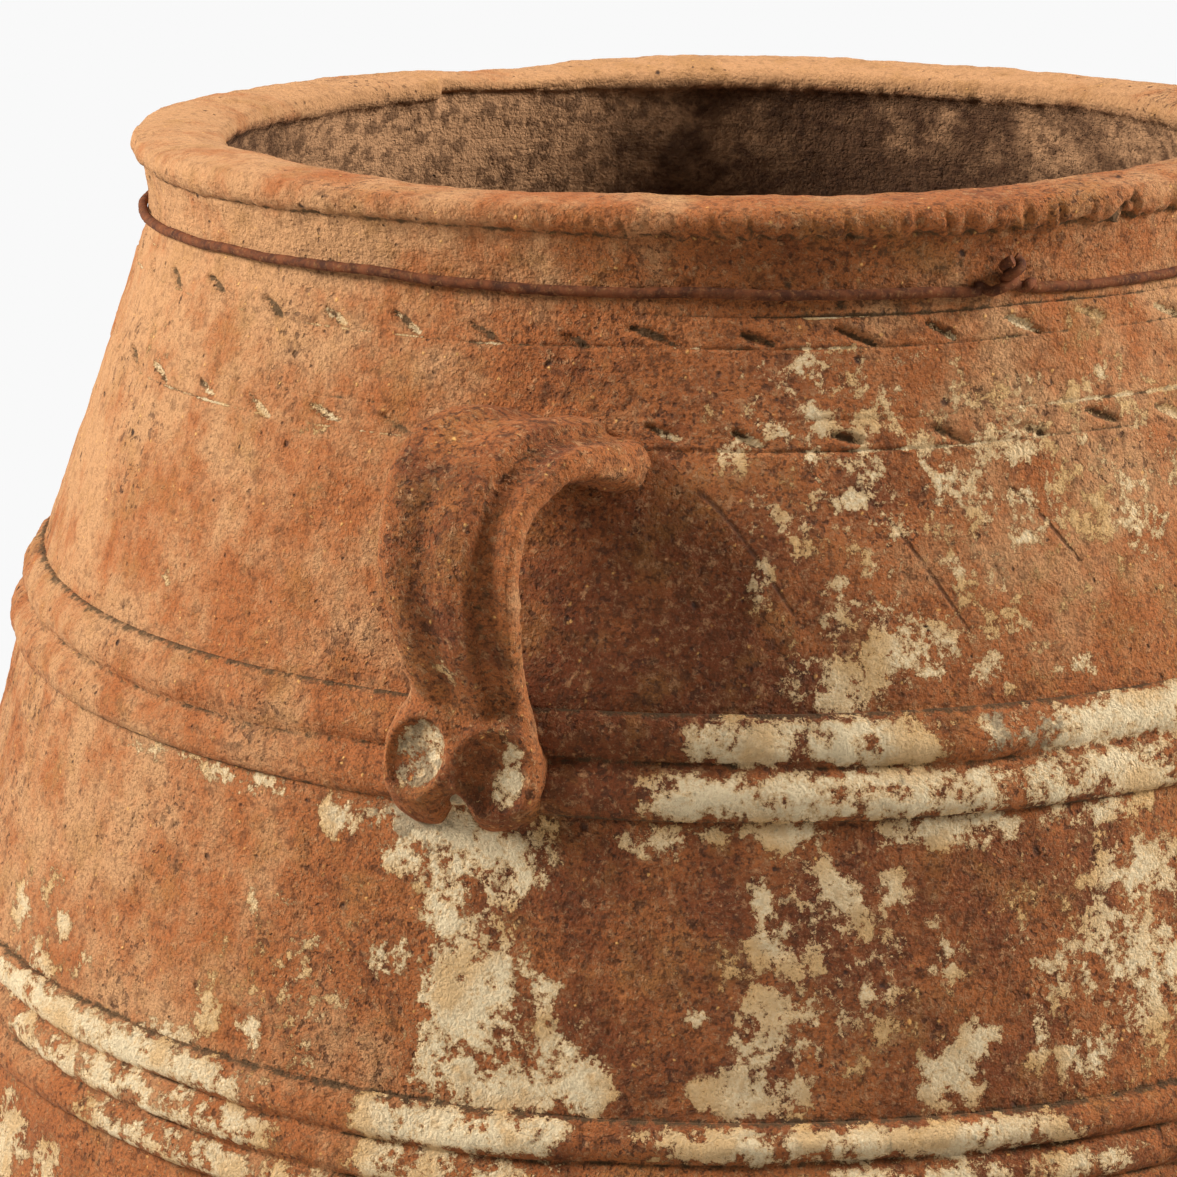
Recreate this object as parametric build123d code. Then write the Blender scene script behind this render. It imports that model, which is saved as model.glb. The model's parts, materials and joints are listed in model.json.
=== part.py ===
"""Greek pithos: a tall terracotta storage jar built up in rings of coiled clay.

Frame: millimetres, +Z up, origin on the ground under the middle of the base. The front handle stands at -Y.
Every ring sits on the one below with a stepped lap, and a ridged strip of clay covers each joint of the body.
"""
import math
import os
from dataclasses import dataclass

from build123d import *

# Outline of the body
base_radius = 150.0
belly_radius = 357.0
neck_radius = 243.5
widest_drop = 25.0            # widest circle, below the joint under the belly band
foot_curve = 1.9              # power of the outline below the widest circle
shoulder_curve = 1.5          # power of the outline above it
wall_thickness = 24.0

# Height of each stage, from the ground up
base_thickness = 30.0
foot_ring_height = 313.5
lower_ring_height = 165.0
belly_ring_height = 155.6
upper_belly_ring_height = 142.1
shoulder_ring_height = 151.3
rim_height = 42.5

# Joints between the stages
lap_height = 12.0             # step of the lap
fit_gap = 0.3                 # between curved faces that touch
base_edge_round = 6.0

# Ridged bands over the joints
broad_ridge_height = 18.25
fine_ridge_height = 14.6
ridge_proud = 4.5             # crest of a ridge beyond the wall
band_edge_proud = 0.8         # foot of a ridge beyond the wall
band_seat_depth = 4.0         # channel in the wall that takes the band

# Rim coil, with radii measured from the neck and heights above its joint
cove_radius = neck_radius - 2.0       # hollow of the neck, where the wire lies
lip_radius = neck_radius + 4.0
lip_top_radius = neck_radius - 2.5
crest_radius = neck_radius - 18.5
mouth_radius = neck_radius - 36.5
lip_height = 36.0
lip_foot_height = 29.5
cove_height = 17.0
rim_dome = 1.5                # fall of the top from its crest to both edges
mouth_face_height = 12.0
mouth_edge_round = 4.0

# Incised friezes on the shoulder, below the rim joint
frieze_height = 10.6
frieze_step = 34.6
line_depth = 0.7
dash_rows = ((46, 4.3), (48, 12.2))   # strokes in each frieze, and the turn of its first one in degrees
dash_length = 14.0
dash_width = 3.4
dash_depth = 1.6
dash_lean = 68.0              # degrees from upright

# Strap handles
handle_turns = {"front": 0.0, "rear_right": 120.0, "rear_left": -120.0}
strap_width = 48.0
strap_thickness = 17.0
strap_ridges = 3
strap_ridge_depth = 2.5
strap_side_round = 4.0
handle_reach = 44.0           # middle of the strap beyond the wall
handle_root_drop = 53.0       # middle of the upper root, below the rim joint
handle_arch_rise = 11.0       # top of the arch above the upper root
handle_slew = 18.0            # sideways shift of the upper root
root_width = 56.0
root_thickness = 22.0
root_sink = 12.0              # how far the roots run on into the wall
waist_width = 43.0            # strap just above the lower root
foot_width = 60.0
tip_width = 46.0              # lower root where it runs into the wall
foot_thickness = 24.0
foot_rise = 3.0               # middle of the lower root, above the shoulder joint
foot_reach = 19.0             # from there to the tip of the lower root
print_width = 23.0            # two thumbprints press the lower root home
print_height = 29.0
print_depth = 5.0
print_spacing = 28.5

# Iron wire tied round the neck
wire_diameter = 3.8
wire_height = 9.0             # above the rim joint
wire_strand_gap = 0.7         # between the two twisted ends
wire_twist_length = 16.0      # one full turn
wire_run_in = 30.0            # along which an end leaves the neck for the twist
wire_stub = 6.0
wire_twist_turn = 42.5        # degrees round from the front handle


@dataclass(frozen=True)
class Joint:
    """A joint between two stages, with the ridged band that covers it."""

    height: float
    ridges: int = 0
    ridge_height: float = 0.0

    @property
    def half(self):
        """Half the height of the band."""
        return self.ridges * self.ridge_height / 2

    @property
    def low(self):
        """Height of the band's lower edge."""
        return self.height - self.half

    @property
    def high(self):
        """Height of the band's upper edge."""
        return self.height + self.half

    def seat_radius(self, z):
        """Radius of the straight channel that takes the band, at height z."""
        if self.ridges == 0:
            return outer_radius(z)
        share = (z - self.low) / (self.high - self.low)
        return outer_radius(self.low) * (1 - share) + outer_radius(self.high) * share - band_seat_depth


base_joint = Joint(base_thickness)
lower_joint = Joint(base_joint.height + foot_ring_height, 2, broad_ridge_height)
belly_joint = Joint(lower_joint.height + lower_ring_height, 3, fine_ridge_height)
upper_belly_joint = Joint(belly_joint.height + belly_ring_height, 3, fine_ridge_height)
shoulder_joint = Joint(upper_belly_joint.height + upper_belly_ring_height, 2, broad_ridge_height)
rim_joint = Joint(shoulder_joint.height + shoulder_ring_height)
belly_height = belly_joint.height - widest_drop


def outer_radius(z):
    """Radius of the outside of the wall at height z."""
    if z < belly_height:
        share = (belly_height - z) / belly_height
        return belly_radius - (belly_radius - base_radius) * share ** foot_curve
    share = (z - belly_height) / (rim_joint.height - belly_height)
    return belly_radius - (belly_radius - neck_radius) * share ** shoulder_curve


def inner_radius(z):
    """Radius of the inside of the wall at height z."""
    return outer_radius(z) - wall_thickness


def lap_radius(joint):
    """Radius of the step in the lap at a joint."""
    return outer_radius(joint.height) - wall_thickness / 2


def steps(first, last, count):
    """Evenly spaced values from first to last."""
    return [first + (last - first) * i / (count - 1) for i in range(count)]


def upright(points):
    """Points of an outline (radius, height) in the plane y = 0."""
    return [(radius, 0, height) for radius, height in points]


def spin(*edges):
    """Solid made by turning a closed outline about the axis of the jar."""
    return revolve(make_face(Curve() + list(edges)), Axis.Z)


def base_disc():
    """Flat slab with a rounded edge and the inner step of the first lap."""
    top = base_joint.height
    corner = base_edge_round * (1 - math.sqrt(0.5))
    edge_radius = outer_radius(base_edge_round)
    return spin(
        Polyline(upright([
            (edge_radius, base_edge_round),
            (outer_radius(top), top),
            (lap_radius(base_joint), top),
            (lap_radius(base_joint), top + lap_height),
            (0, top + lap_height),
            (0, 0),
            (base_radius - base_edge_round, 0),
        ])),
        ThreePointArc(*upright([
            (base_radius - base_edge_round, 0),
            (base_radius - corner, corner),
            (edge_radius, base_edge_round),
        ])),
    )


def wall_ring(low, high):
    """One ring of the wall from joint to joint, with a half channel for the band at each end."""
    outer = upright([(outer_radius(z), z) for z in steps(low.high, high.low, 7)])
    inner = upright([(inner_radius(z), z) for z in steps(high.height + lap_height, low.height + lap_height, 7)])
    upper_end = upright([
        (high.seat_radius(high.low), high.low),
        (high.seat_radius(high.height), high.height),
        (lap_radius(high), high.height),
        (lap_radius(high), high.height + lap_height),
    ])
    lower_end = upright([
        (lap_radius(low) + fit_gap, low.height + lap_height),
        (lap_radius(low) + fit_gap, low.height),
        (low.seat_radius(low.height), low.height),
        (low.seat_radius(low.high), low.high),
    ])
    edges = [Spline(*outer), Spline(*inner)]
    edges += run_of_lines([outer[-1]] + upper_end + [inner[0]])
    edges += run_of_lines([inner[-1]] + lower_end + [outer[0]])
    return spin(*edges)


def run_of_lines(points):
    """Straight edges through the points, leaving out those that coincide."""
    pairs = zip(points, points[1:])
    return [Line(start, end) for start, end in pairs if math.dist(start, end) > 1e-6]


def rim():
    """Rim coil: a hollow neck for the wire, a rounded lip, and a domed top that overhangs the mouth."""
    foot = rim_joint.height
    edge_height = foot + rim_height - rim_dome
    neck = (neck_radius, foot)
    lip_foot = (neck_radius, foot + lip_foot_height)
    lip_top = (lip_top_radius, edge_height)
    mouth_top = (mouth_radius + mouth_edge_round, edge_height)
    mouth_foot = (mouth_radius + mouth_edge_round, edge_height - mouth_face_height)
    edges = [
        ThreePointArc(*upright([neck, (cove_radius, foot + cove_height), lip_foot])),
        ThreePointArc(*upright([lip_foot, (lip_radius, foot + lip_height), lip_top])),
        ThreePointArc(*upright([lip_top, (crest_radius, foot + rim_height), mouth_top])),
        ThreePointArc(*upright([mouth_top, (mouth_radius, edge_height - mouth_face_height / 2), mouth_foot])),
    ]
    edges += run_of_lines(upright([
        mouth_foot,
        (inner_radius(foot + lap_height), foot + lap_height),
        (lap_radius(rim_joint) + fit_gap, foot + lap_height),
        (lap_radius(rim_joint) + fit_gap, foot),
        neck,
    ]))
    return spin(*edges)


def incised_lines():
    """Rings that cut the lines along both edges of the two friezes."""
    lines = []
    for row in range(2):
        for edge in range(2):
            z = rim_joint.height - row * frieze_step - edge * frieze_height
            lines.append(Pos(0, 0, z) * Torus(outer_radius(z), line_depth))
    return lines


def incised_dashes():
    """Slanting V-shaped strokes of the two friezes."""
    half = dash_width / 2
    section = make_face(Polyline((-half, 0), (half, 0), (0, dash_depth), close=True))
    stroke = Rot(0, -dash_lean, 0) * extrude(section, dash_length / 2, both=True)
    dashes = []
    for row, (count, first_turn) in enumerate(dash_rows):
        top = rim_joint.height - row * frieze_step
        middle = top - frieze_height / 2
        fall = (outer_radius(top - frieze_height) - outer_radius(top)) / frieze_height
        place = Pos(0, -outer_radius(middle), middle) * Rot(-math.degrees(math.atan(fall)), 0, 0)
        for i in range(count):
            dashes.append(Rot(0, 0, first_turn + 360.0 * i / count) * place * stroke)
    return dashes


def shoulder_wall():
    """Shoulder ring with its two incised friezes."""
    return wall_ring(shoulder_joint, rim_joint) - incised_lines() - incised_dashes()


def band(joint, gap=0.0):
    """Ridged strip of clay in its channel over a joint; gap swells the outside for cutting a seat."""
    edges = []
    feet = steps(joint.low, joint.high, joint.ridges + 1)
    for low, high in zip(feet, feet[1:]):
        middle = (low + high) / 2
        edges.append(ThreePointArc(*upright([
            (outer_radius(low) + band_edge_proud + gap, low),
            (outer_radius(middle) + ridge_proud + gap, middle),
            (outer_radius(high) + band_edge_proud + gap, high),
        ])))
    edges += run_of_lines(upright([
        (outer_radius(joint.high) + band_edge_proud + gap, joint.high),
        (joint.seat_radius(joint.high) + fit_gap, joint.high),
        (joint.seat_radius(joint.low) + fit_gap, joint.low),
        (outer_radius(joint.low) + band_edge_proud + gap, joint.low),
    ]))
    return spin(*edges)


def strap_section(plane, width, thickness):
    """Face across the strap: flat inside, rounded sides, ridges outside."""
    half = width / 2
    inside = -thickness / 2
    valley = thickness / 2 - strap_ridge_depth
    waist = (inside + valley) / 2
    feet = steps(half - strap_side_round, strap_side_round - half, strap_ridges + 1)
    edges = [
        Line((feet[-1], inside), (feet[0], inside)),
        ThreePointArc((feet[0], inside), (half, waist), (feet[0], valley)),
        ThreePointArc((feet[-1], valley), (-half, waist), (feet[-1], inside)),
    ]
    for right, left in zip(feet, feet[1:]):
        edges.append(ThreePointArc((right, valley), ((right + left) / 2, thickness / 2), (left, valley)))
    return plane * make_face(Curve() + edges)


def handle_stations():
    """Places along the strap: sideways shift, distance from the wall, height, width and thickness."""
    root = rim_joint.height - handle_root_drop
    foot = shoulder_joint.height + foot_rise
    drop = root - foot
    waist_away = strap_thickness / 2 + fit_gap
    return [
        (handle_slew, -root_sink, root, root_width, root_thickness),
        (handle_slew * 0.8, handle_reach * 0.4, root + handle_arch_rise, strap_width, strap_thickness),
        (0, handle_reach, root - drop * 0.02, strap_width, strap_thickness),
        (0, handle_reach, root - drop * 0.3, strap_width, strap_thickness),
        (0, handle_reach * 0.6, root - drop * 0.58, waist_width, strap_thickness),
        (0, waist_away, root - drop * 0.82, waist_width, strap_thickness),
        (0, ridge_proud, foot, foot_width, foot_thickness),
        (0, -root_sink, foot - foot_reach, tip_width, foot_thickness),
    ]


def strap():
    """Strap of the front handle with its thumbprints, its ends still running on into the wall."""
    stations = handle_stations()
    middles = [Vector(shift, -(outer_radius(z) + away), z) for shift, away, z, _, _ in stations]
    spine = Spline(*middles)
    sections = []
    for middle, (_, _, _, width, thickness) in zip(middles, stations):
        along = spine.tangent_at(middle)
        across = Vector(1, 0, 0) - along * along.X
        sections.append(strap_section(Plane(middle, x_dir=across, z_dir=along), width, thickness))
    return loft(sections) - thumbprints()


def handle(turn):
    """Strap handle turned to its place, with its roots shaped to the wall and the shoulder band."""
    return Rot(0, 0, turn) * strap() - jar_body() - band(shoulder_joint, fit_gap)


def jar_body():
    """Filled body of the jar along the handles, swelled by the gap between curved faces."""
    low = upper_belly_joint.high
    high = rim_joint.height
    wall = upright([(outer_radius(z) + fit_gap, z) for z in steps(low, high, 9)])
    return spin(Spline(*wall), *run_of_lines([wall[-1], (0, 0, high), (0, 0, low), wall[0]]))


def thumbprints():
    """Two hollows side by side in the lower root."""
    z = shoulder_joint.height + foot_rise
    face = outer_radius(z) + ridge_proud + foot_thickness / 2
    hollow = scale(Rot(90, 0, 0) * Sphere(1), by=(print_width / 2, print_depth, print_height / 2))
    return [Pos(side * print_spacing / 2, -face, z) * hollow for side in (-1, 1)]


def biarc(start, start_way, end, end_way):
    """Two tangent arcs from start to end that leave and arrive along the given unit directions."""
    span = end - start
    ways = start_way + end_way
    a = ways.dot(ways) - 4
    b = -2 * span.dot(ways)
    c = span.dot(span)
    reach = -c / b if abs(a) < 1e-9 else (-b - math.sqrt(b * b - 4 * a * c)) / (2 * a)
    meet = (start + start_way * reach + end - end_way * reach) / 2
    return [TangentArc(start, meet, tangent=start_way), TangentArc(end, meet, tangent=-end_way)]


def wire_route():
    """Points and directions along half of the wire, from the tip of one end to the back of the neck.

    Each is given in the frame of the twist: along the neck, outwards, and up.
    """
    neck = cove_radius + fit_gap + wire_diameter / 2
    coil = (wire_diameter + wire_strand_gap) / 2
    axis = neck + coil + wire_diameter / 2
    climb = wire_twist_length / (2 * math.pi)
    route = []
    for quarter in range(4, -1, -1):
        angle = quarter * math.pi / 2
        place = Vector(climb * angle - wire_twist_length / 2, axis + coil * math.sin(angle), -coil * math.cos(angle))
        way = Vector(-climb, -coil * math.cos(angle), -coil * math.sin(angle)).normalized()
        route.append((place, way))
    run_in = wire_run_in / neck
    for turn in steps(run_in, math.pi, 3):
        place = Vector(-neck * math.sin(turn), neck * math.cos(turn), 0)
        way = Vector(-math.cos(turn), -math.sin(turn), 0)
        route.append((place, way))
    tip, tip_way = route[0]
    return [(tip - tip_way * wire_stub, tip_way)] + route


def neck_wire():
    """Iron wire round the neck with its two ends twisted together, as one tube."""
    half = wire_route()
    back = [(Vector(-p.X, p.Y, -p.Z), Vector(w.X, -w.Y, w.Z)) for p, w in reversed(half)]
    route = half + back[1:]
    edges = [Line(route[0][0], route[1][0])]
    for (start, start_way), (end, end_way) in zip(route[1:-2], route[2:-1]):
        edges += biarc(start, start_way, end, end_way)
    edges.append(Line(route[-2][0], route[-1][0]))
    path = Wire(edges)
    print(f"neck wire: least gap to itself {least_gap(path):.2f} mm")
    start, start_way = route[0]
    tube = sweep(Plane(start, z_dir=start_way) * Circle(wire_diameter / 2), path=path)
    print(f"neck wire: volume over section times length {tube.volume / wire_volume(path):.4f}")
    place = Rot(0, 0, wire_twist_turn) * Pos(0, 0, rim_joint.height + wire_height) * Rot(180, 0, 0)
    return place * tube


def wire_volume(path):
    """Volume of a straight wire of the same length."""
    return math.pi * wire_diameter ** 2 / 4 * path.length


def least_gap(path, count=1600):
    """Least clear distance between stretches of the wire that are not neighbours."""
    points = [tuple(path.position_at(i / count)) for i in range(count + 1)]
    skip = math.ceil(3 * wire_diameter / (path.length / count))
    pairs = ((point, other) for i, point in enumerate(points) for other in points[i + skip:])
    return min(math.dist(point, other) for point, other in pairs) - wire_diameter


def main():
    """Build every piece and write it as its own file."""
    nodes = {
        "base_disc": base_disc(),
        "foot_wall": wall_ring(base_joint, lower_joint),
        "lower_wall": wall_ring(lower_joint, belly_joint),
        "belly_wall": wall_ring(belly_joint, upper_belly_joint),
        "upper_belly_wall": wall_ring(upper_belly_joint, shoulder_joint),
        "shoulder_wall": shoulder_wall(),
        "rim": rim(),
        "lower_band": band(lower_joint),
        "belly_band": band(belly_joint),
        "upper_belly_band": band(upper_belly_joint),
        "shoulder_band": band(shoulder_joint),
        "neck_wire": neck_wire(),
    }
    for side, turn in handle_turns.items():
        nodes[f"handle_{side}"] = handle(turn)
    os.makedirs("parts", exist_ok=True)
    for name, solid in nodes.items():
        export_step(solid, f"parts/{name}.step")


if __name__ == "__main__":
    main()
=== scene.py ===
"""Looks of a greek pithos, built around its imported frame.

Everything is in metres in the frame's axes: +Z up, the front handle at -Y. A turn is measured round the jar
from the front handle towards +X. Each ring, band, handle and the wire is one piece that stands for its solid.
"""
import json
import logging
import math
from abc import ABC, abstractmethod
from dataclasses import dataclass, field
from enum import Enum
from typing import Any, Sequence

import bpy
import numpy as np
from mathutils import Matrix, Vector

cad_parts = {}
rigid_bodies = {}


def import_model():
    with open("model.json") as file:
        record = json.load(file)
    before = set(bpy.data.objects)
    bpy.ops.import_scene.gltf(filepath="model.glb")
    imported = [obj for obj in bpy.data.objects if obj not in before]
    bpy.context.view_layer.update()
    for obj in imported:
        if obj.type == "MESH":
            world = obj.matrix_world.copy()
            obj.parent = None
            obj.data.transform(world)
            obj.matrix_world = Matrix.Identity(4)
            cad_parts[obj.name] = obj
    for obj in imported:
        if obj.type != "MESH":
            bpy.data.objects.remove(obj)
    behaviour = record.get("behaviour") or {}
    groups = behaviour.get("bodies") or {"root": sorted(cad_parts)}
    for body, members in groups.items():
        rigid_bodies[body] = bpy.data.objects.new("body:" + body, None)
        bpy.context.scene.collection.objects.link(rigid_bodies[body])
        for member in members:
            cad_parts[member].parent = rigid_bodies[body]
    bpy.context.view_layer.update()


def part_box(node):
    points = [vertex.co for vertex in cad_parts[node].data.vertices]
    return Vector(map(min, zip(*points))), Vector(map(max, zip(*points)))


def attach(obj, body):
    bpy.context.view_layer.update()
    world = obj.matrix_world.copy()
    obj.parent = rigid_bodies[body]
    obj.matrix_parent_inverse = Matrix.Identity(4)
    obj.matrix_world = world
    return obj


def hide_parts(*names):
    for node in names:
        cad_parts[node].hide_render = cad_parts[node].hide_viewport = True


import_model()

logging.basicConfig(level=logging.INFO, format="%(message)s")
log = logging.getLogger("pithos")

MM = 0.001
BODY = "root"


class Slot(Enum):
    """Material slots of the record."""

    CLAY = "terracotta"
    IRON = "rusted_iron"


def linear(hex_colour: str) -> tuple[float, float, float, float]:
    """Linear colour of an sRGB hex code.

    Args:
        hex_colour: Six hex digits after a hash.

    Returns:
        Red, green, blue and alpha for a shader socket.
    """
    parts = [int(hex_colour[i:i + 2], 16) / 255 for i in (1, 3, 5)]
    values = [p / 12.92 if p <= 0.04045 else ((p + 0.055) / 1.055) ** 2.4 for p in parts]
    return (values[0], values[1], values[2], 1.0)


def socket(sockets: Any, key: str | int) -> Any:
    """The socket with that identifier, or else that name or index.

    Args:
        sockets: Inputs or outputs of a node.
        key: Identifier, name or index.

    Returns:
        The socket.
    """
    for candidate in sockets:
        if candidate.identifier == key:
            return candidate
    return sockets[key]


def add(
    tree: bpy.types.NodeTree, kind: str, inputs: dict[str | int, Any] | None = None, **settings: Any,
) -> bpy.types.Node:
    """Adds a node to a tree, with its settings, its values and its links.

    Args:
        tree: Shader or geometry tree.
        kind: Type name of the node.
        inputs: Values, output sockets or nodes (for their first output) by input identifier, name or index.
        settings: Properties of the node, such as its operation.

    Returns:
        The new node.
    """
    node = tree.nodes.new(kind)
    for name, value in settings.items():
        setattr(node, name, value)
    for key, value in (inputs or {}).items():
        target = socket(node.inputs, key)
        if isinstance(value, bpy.types.Node):
            value = value.outputs[0]
        if isinstance(value, bpy.types.NodeSocket):
            tree.links.new(value, target)
        else:
            target.default_value = value
    return node


def empty_tree(owner: bpy.types.ID) -> bpy.types.NodeTree:
    """Node tree of a material or a world, emptied.

    Args:
        owner: Material or world.

    Returns:
        Its tree, without nodes.
    """
    owner.use_nodes = True
    owner.node_tree.nodes.clear()
    return owner.node_tree


def per_metre(size_mm: float) -> float:
    """Texture scale whose features are that many millimetres across."""
    return 1.0 / (size_mm * MM)


@dataclass(frozen=True)
class Outline:
    """Outline of the wall, as the solids have it."""

    base_radius: float = 0.150
    belly_radius: float = 0.357
    neck_radius: float = 0.2435
    belly_height: float = 0.4835
    rim_joint: float = 0.9575
    foot_curve: float = 1.9
    shoulder_curve: float = 1.5
    wall: float = 0.024

    def outer(self, z: np.ndarray | float) -> np.ndarray:
        """Radius of the outside of the wall at height z.

        Args:
            z: Heights in metres.

        Returns:
            Radii in metres.
        """
        z = np.asarray(z, float)
        below = np.clip((self.belly_height - z) / self.belly_height, 0, None)
        above = np.clip((z - self.belly_height) / (self.rim_joint - self.belly_height), 0, None)
        foot = (self.belly_radius - self.base_radius) * below ** self.foot_curve
        shoulder = (self.belly_radius - self.neck_radius) * above ** self.shoulder_curve
        return self.belly_radius - foot - shoulder

    def inner(self, z: np.ndarray | float) -> np.ndarray:
        """Radius of the inside of the wall at height z."""
        return self.outer(z) - self.wall

    def facing(self, z: np.ndarray) -> tuple[np.ndarray, np.ndarray]:
        """Radial and upward parts of the wall's outward direction at height z.

        Args:
            z: Heights in metres.

        Returns:
            The two parts of a direction of length 1.
        """
        step = 0.5 * MM
        slope = (self.outer(z + step) - self.outer(z - step)) / (2 * step)
        length = np.sqrt(1 + slope ** 2)
        return 1 / length, -slope / length


OUTLINE = Outline()


class Ripple:
    """Smooth closed wave round the jar, made of a few harmonics with seeded phases."""

    def __init__(self, seed: int, harmonics: Sequence[int], falloff: float = 0.6) -> None:
        """Draws the phases.

        Args:
            seed: Seed of the draw.
            harmonics: Whole waves round the jar.
            falloff: Power by which the higher harmonics fade.
        """
        draw = np.random.default_rng(seed)
        self.harmonics = np.array(harmonics, float)
        self.phases = draw.uniform(0, 2 * np.pi, len(harmonics))
        sizes = self.harmonics ** -falloff
        self.sizes = sizes / np.sqrt((sizes ** 2).sum() / 2)

    def __call__(self, turn: np.ndarray) -> np.ndarray:
        """Height of the wave at each turn, mostly within -2 to 2."""
        angles = turn[..., None] * self.harmonics + self.phases
        return (np.sin(angles) * self.sizes).sum(-1)


def turn_gap(turn: np.ndarray, centre: float) -> np.ndarray:
    """Signed angle from a centre to each turn, within half a round."""
    return (turn - centre + np.pi) % (2 * np.pi) - np.pi


def unit(value: np.ndarray) -> np.ndarray:
    """Values kept within 0 and 1."""
    return np.clip(value, 0, 1)


def bump(distance: np.ndarray, width: float) -> np.ndarray:
    """Soft bell of height 1 with that half width."""
    return np.exp(-(distance / width) ** 2)


@dataclass(frozen=True)
class Patch:
    """Worn lime on the wall: an ellipse by turn in degrees and height in millimetres."""

    turn: float
    height: float
    half_width: float
    half_height: float
    cover: float
    grey: float = 0.0


@dataclass(frozen=True)
class Strip:
    """Worn lime along one ridge of a band, between two turns in degrees; ridge 0 is the top one."""

    band: str
    ridge: int
    first: float
    last: float
    cover: float
    grey: float = 0.0


@dataclass(frozen=True)
class Zone:
    """Cloud of paler (above 0) or deeper (below 0) clay, by turn in degrees and height in millimetres; a few
    of them are painted shadow and painted light.
    """

    turn: float
    height: float
    half_turn: float
    half_height: float
    tone: float


@dataclass(frozen=True)
class Scratch:
    """Curved scratch that falls to the right from its top, by turn in degrees and height and length in mm."""

    turn: float
    height: float
    length: float


# Right of the front handle
SCRATCHES = (Scratch(15.2, 899, 46), Scratch(27.2, 899, 50), Scratch(40, 896, 27))

# Firing clouds, dust and damp: how the clay's tone drifts over the side with the front handle; among them are
# painted shadow beside and under the handle and painted light on the back of the rim
CLAY_ZONES = [Zone(*row) for row in (
    (-55, 890, 42, 80, 1.0), (-55, 985, 60, 28, 1.0), (-25, 860, 16, 60, 0.35), (-30, 735, 24, 50, 0.6),
    # (14, 860) and (9, 828) are painted shadow of the front handle, and (180, 985) is painted light on the
    # top of the rim at the back
    (14, 860, 13, 48, -1.15), (8, 930, 16, 26, -0.25), (30, 978, 22, 14, -0.8), (45, 890, 16, 60, 0.6),
    (20, 740, 22, 55, -0.9), (60, 960, 20, 40, 0.5), (45, 730, 12, 40, -0.3), (9, 828, 10, 30, -1.6),
    (4, 720, 12, 45, -0.7), (180, 985, 70, 24, 1.9), (-6, 905, 8, 22, 0.5), (-11, 870, 6, 40, 0.5),
    (-22, 700, 30, 40, 0.5),
)]

# Lime below the front handle and on the wall to its left
HANDLE_LIME = [Patch(*row) for row in (
    (-2, 775, 21, 13, 1.0), (3, 774, 15, 14, 0.9), (-4, 783, 14, 8, 1.1, 1.2), (-1, 754, 9, 14, 0.9),
    (1, 719, 17, 29, 1.0), (2, 694, 27, 8, 0.9), (6, 726, 7, 9, 0.8), (7, 708, 10, 10, 0.8),
    (9, 697, 9, 9, 0.9), (-5, 734, 8, 8, 0.7), (-11, 798, 10, 5, 0.6), (-10, 779, 9, 8, 0.6),
    (-19, 784, 20, 5, 0.65), (-30, 783, 18, 3, 0.6), (-19, 702, 7, 12, 0.7), (-15, 701, 7, 12, 0.7),
    (-22, 688, 17, 5, 0.75), (-16, 743, 4, 8, 0.6), (-36, 706, 7, 8, 0.65), (-42, 705, 10, 10, 0.7),
    (-39, 690, 16, 7, 0.75), (-32, 845, 9, 4, 0.5),
)]
# Lime between the two upper bands, right of the handle
BELLY_LIME = [Patch(*row) for row in (
    (13, 781, 11, 5, 0.85), (21, 784, 24, 4, 0.85), (33, 783, 26, 6, 0.85), (20, 760, 6, 12, 0.65),
    (21, 749, 8, 8, 0.75), (25, 761, 11, 15, 0.7), (29, 764, 8, 7, 0.65), (32, 739, 8, 9, 0.7),
    (20, 727, 11, 12, 0.7), (20, 710, 13, 12, 0.72), (19, 696, 18, 9, 0.85), (16, 722, 8, 4, 0.5),
    (32, 699, 12, 12, 0.8), (34, 711, 8, 7, 0.75), (38, 712, 4, 13, 0.7), (41, 700, 10, 12, 0.75),
    (46, 732, 17, 26, 0.8), (47, 760, 22, 15, 0.7), (44, 784, 22, 5, 0.75),
)]
# Lime on the shoulder, right of the handle
SHOULDER_LIME = [Patch(*row) for row in (
    (26, 834, 16, 10, 1.0), (31, 843, 14, 9, 0.95), (29, 859, 7, 8, 0.65), (25, 853, 6, 7, 0.6),
    (37, 835, 8, 7, 0.75), (44, 834, 11, 4, 0.65), (20, 869, 5, 9, 0.62), (26, 869, 4, 8, 0.6),
    (35, 871, 7, 5, 0.6), (20, 938, 9, 5, 0.58), (24, 940, 9, 8, 0.6), (24, 926, 8, 6, 0.55),
    (18, 914, 7, 8, 0.7), (24, 912, 5, 10, 0.62), (28, 920, 9, 14, 0.55), (31, 943, 15, 3, 0.5),
    (29, 905, 6, 4, 0.6), (33, 910, 5, 11, 0.55), (35, 899, 6, 14, 0.65), (20, 893, 7, 9, 0.55),
    (23, 888, 9, 4, 0.6), (27, 895, 7, 5, 0.65), (41, 890, 9, 13, 0.65), (38, 863, 6, 6, 0.55),
    (42, 914, 10, 3, 0.6), (50, 931, 6, 7, 0.5), (51, 894, 10, 5, 0.55),
)]
# Scattered flecks over wider parts of the wall
THIN_LIME = [Patch(*row) for row in (
    (26, 925, 45, 22, 0.44), (27, 880, 40, 40, 0.38), (40, 905, 40, 40, 0.42), (36, 850, 60, 22, 0.38),
    (50, 900, 40, 60, 0.38), (24, 740, 45, 45, 0.42), (44, 735, 40, 50, 0.46), (-25, 790, 60, 12, 0.34),
    (-12, 720, 50, 40, 0.33), (-38, 705, 40, 30, 0.38), (-42, 930, 45, 24, 0.26), (-18, 905, 25, 30, 0.24),
    (-30, 860, 60, 40, 0.14),
)]
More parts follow.
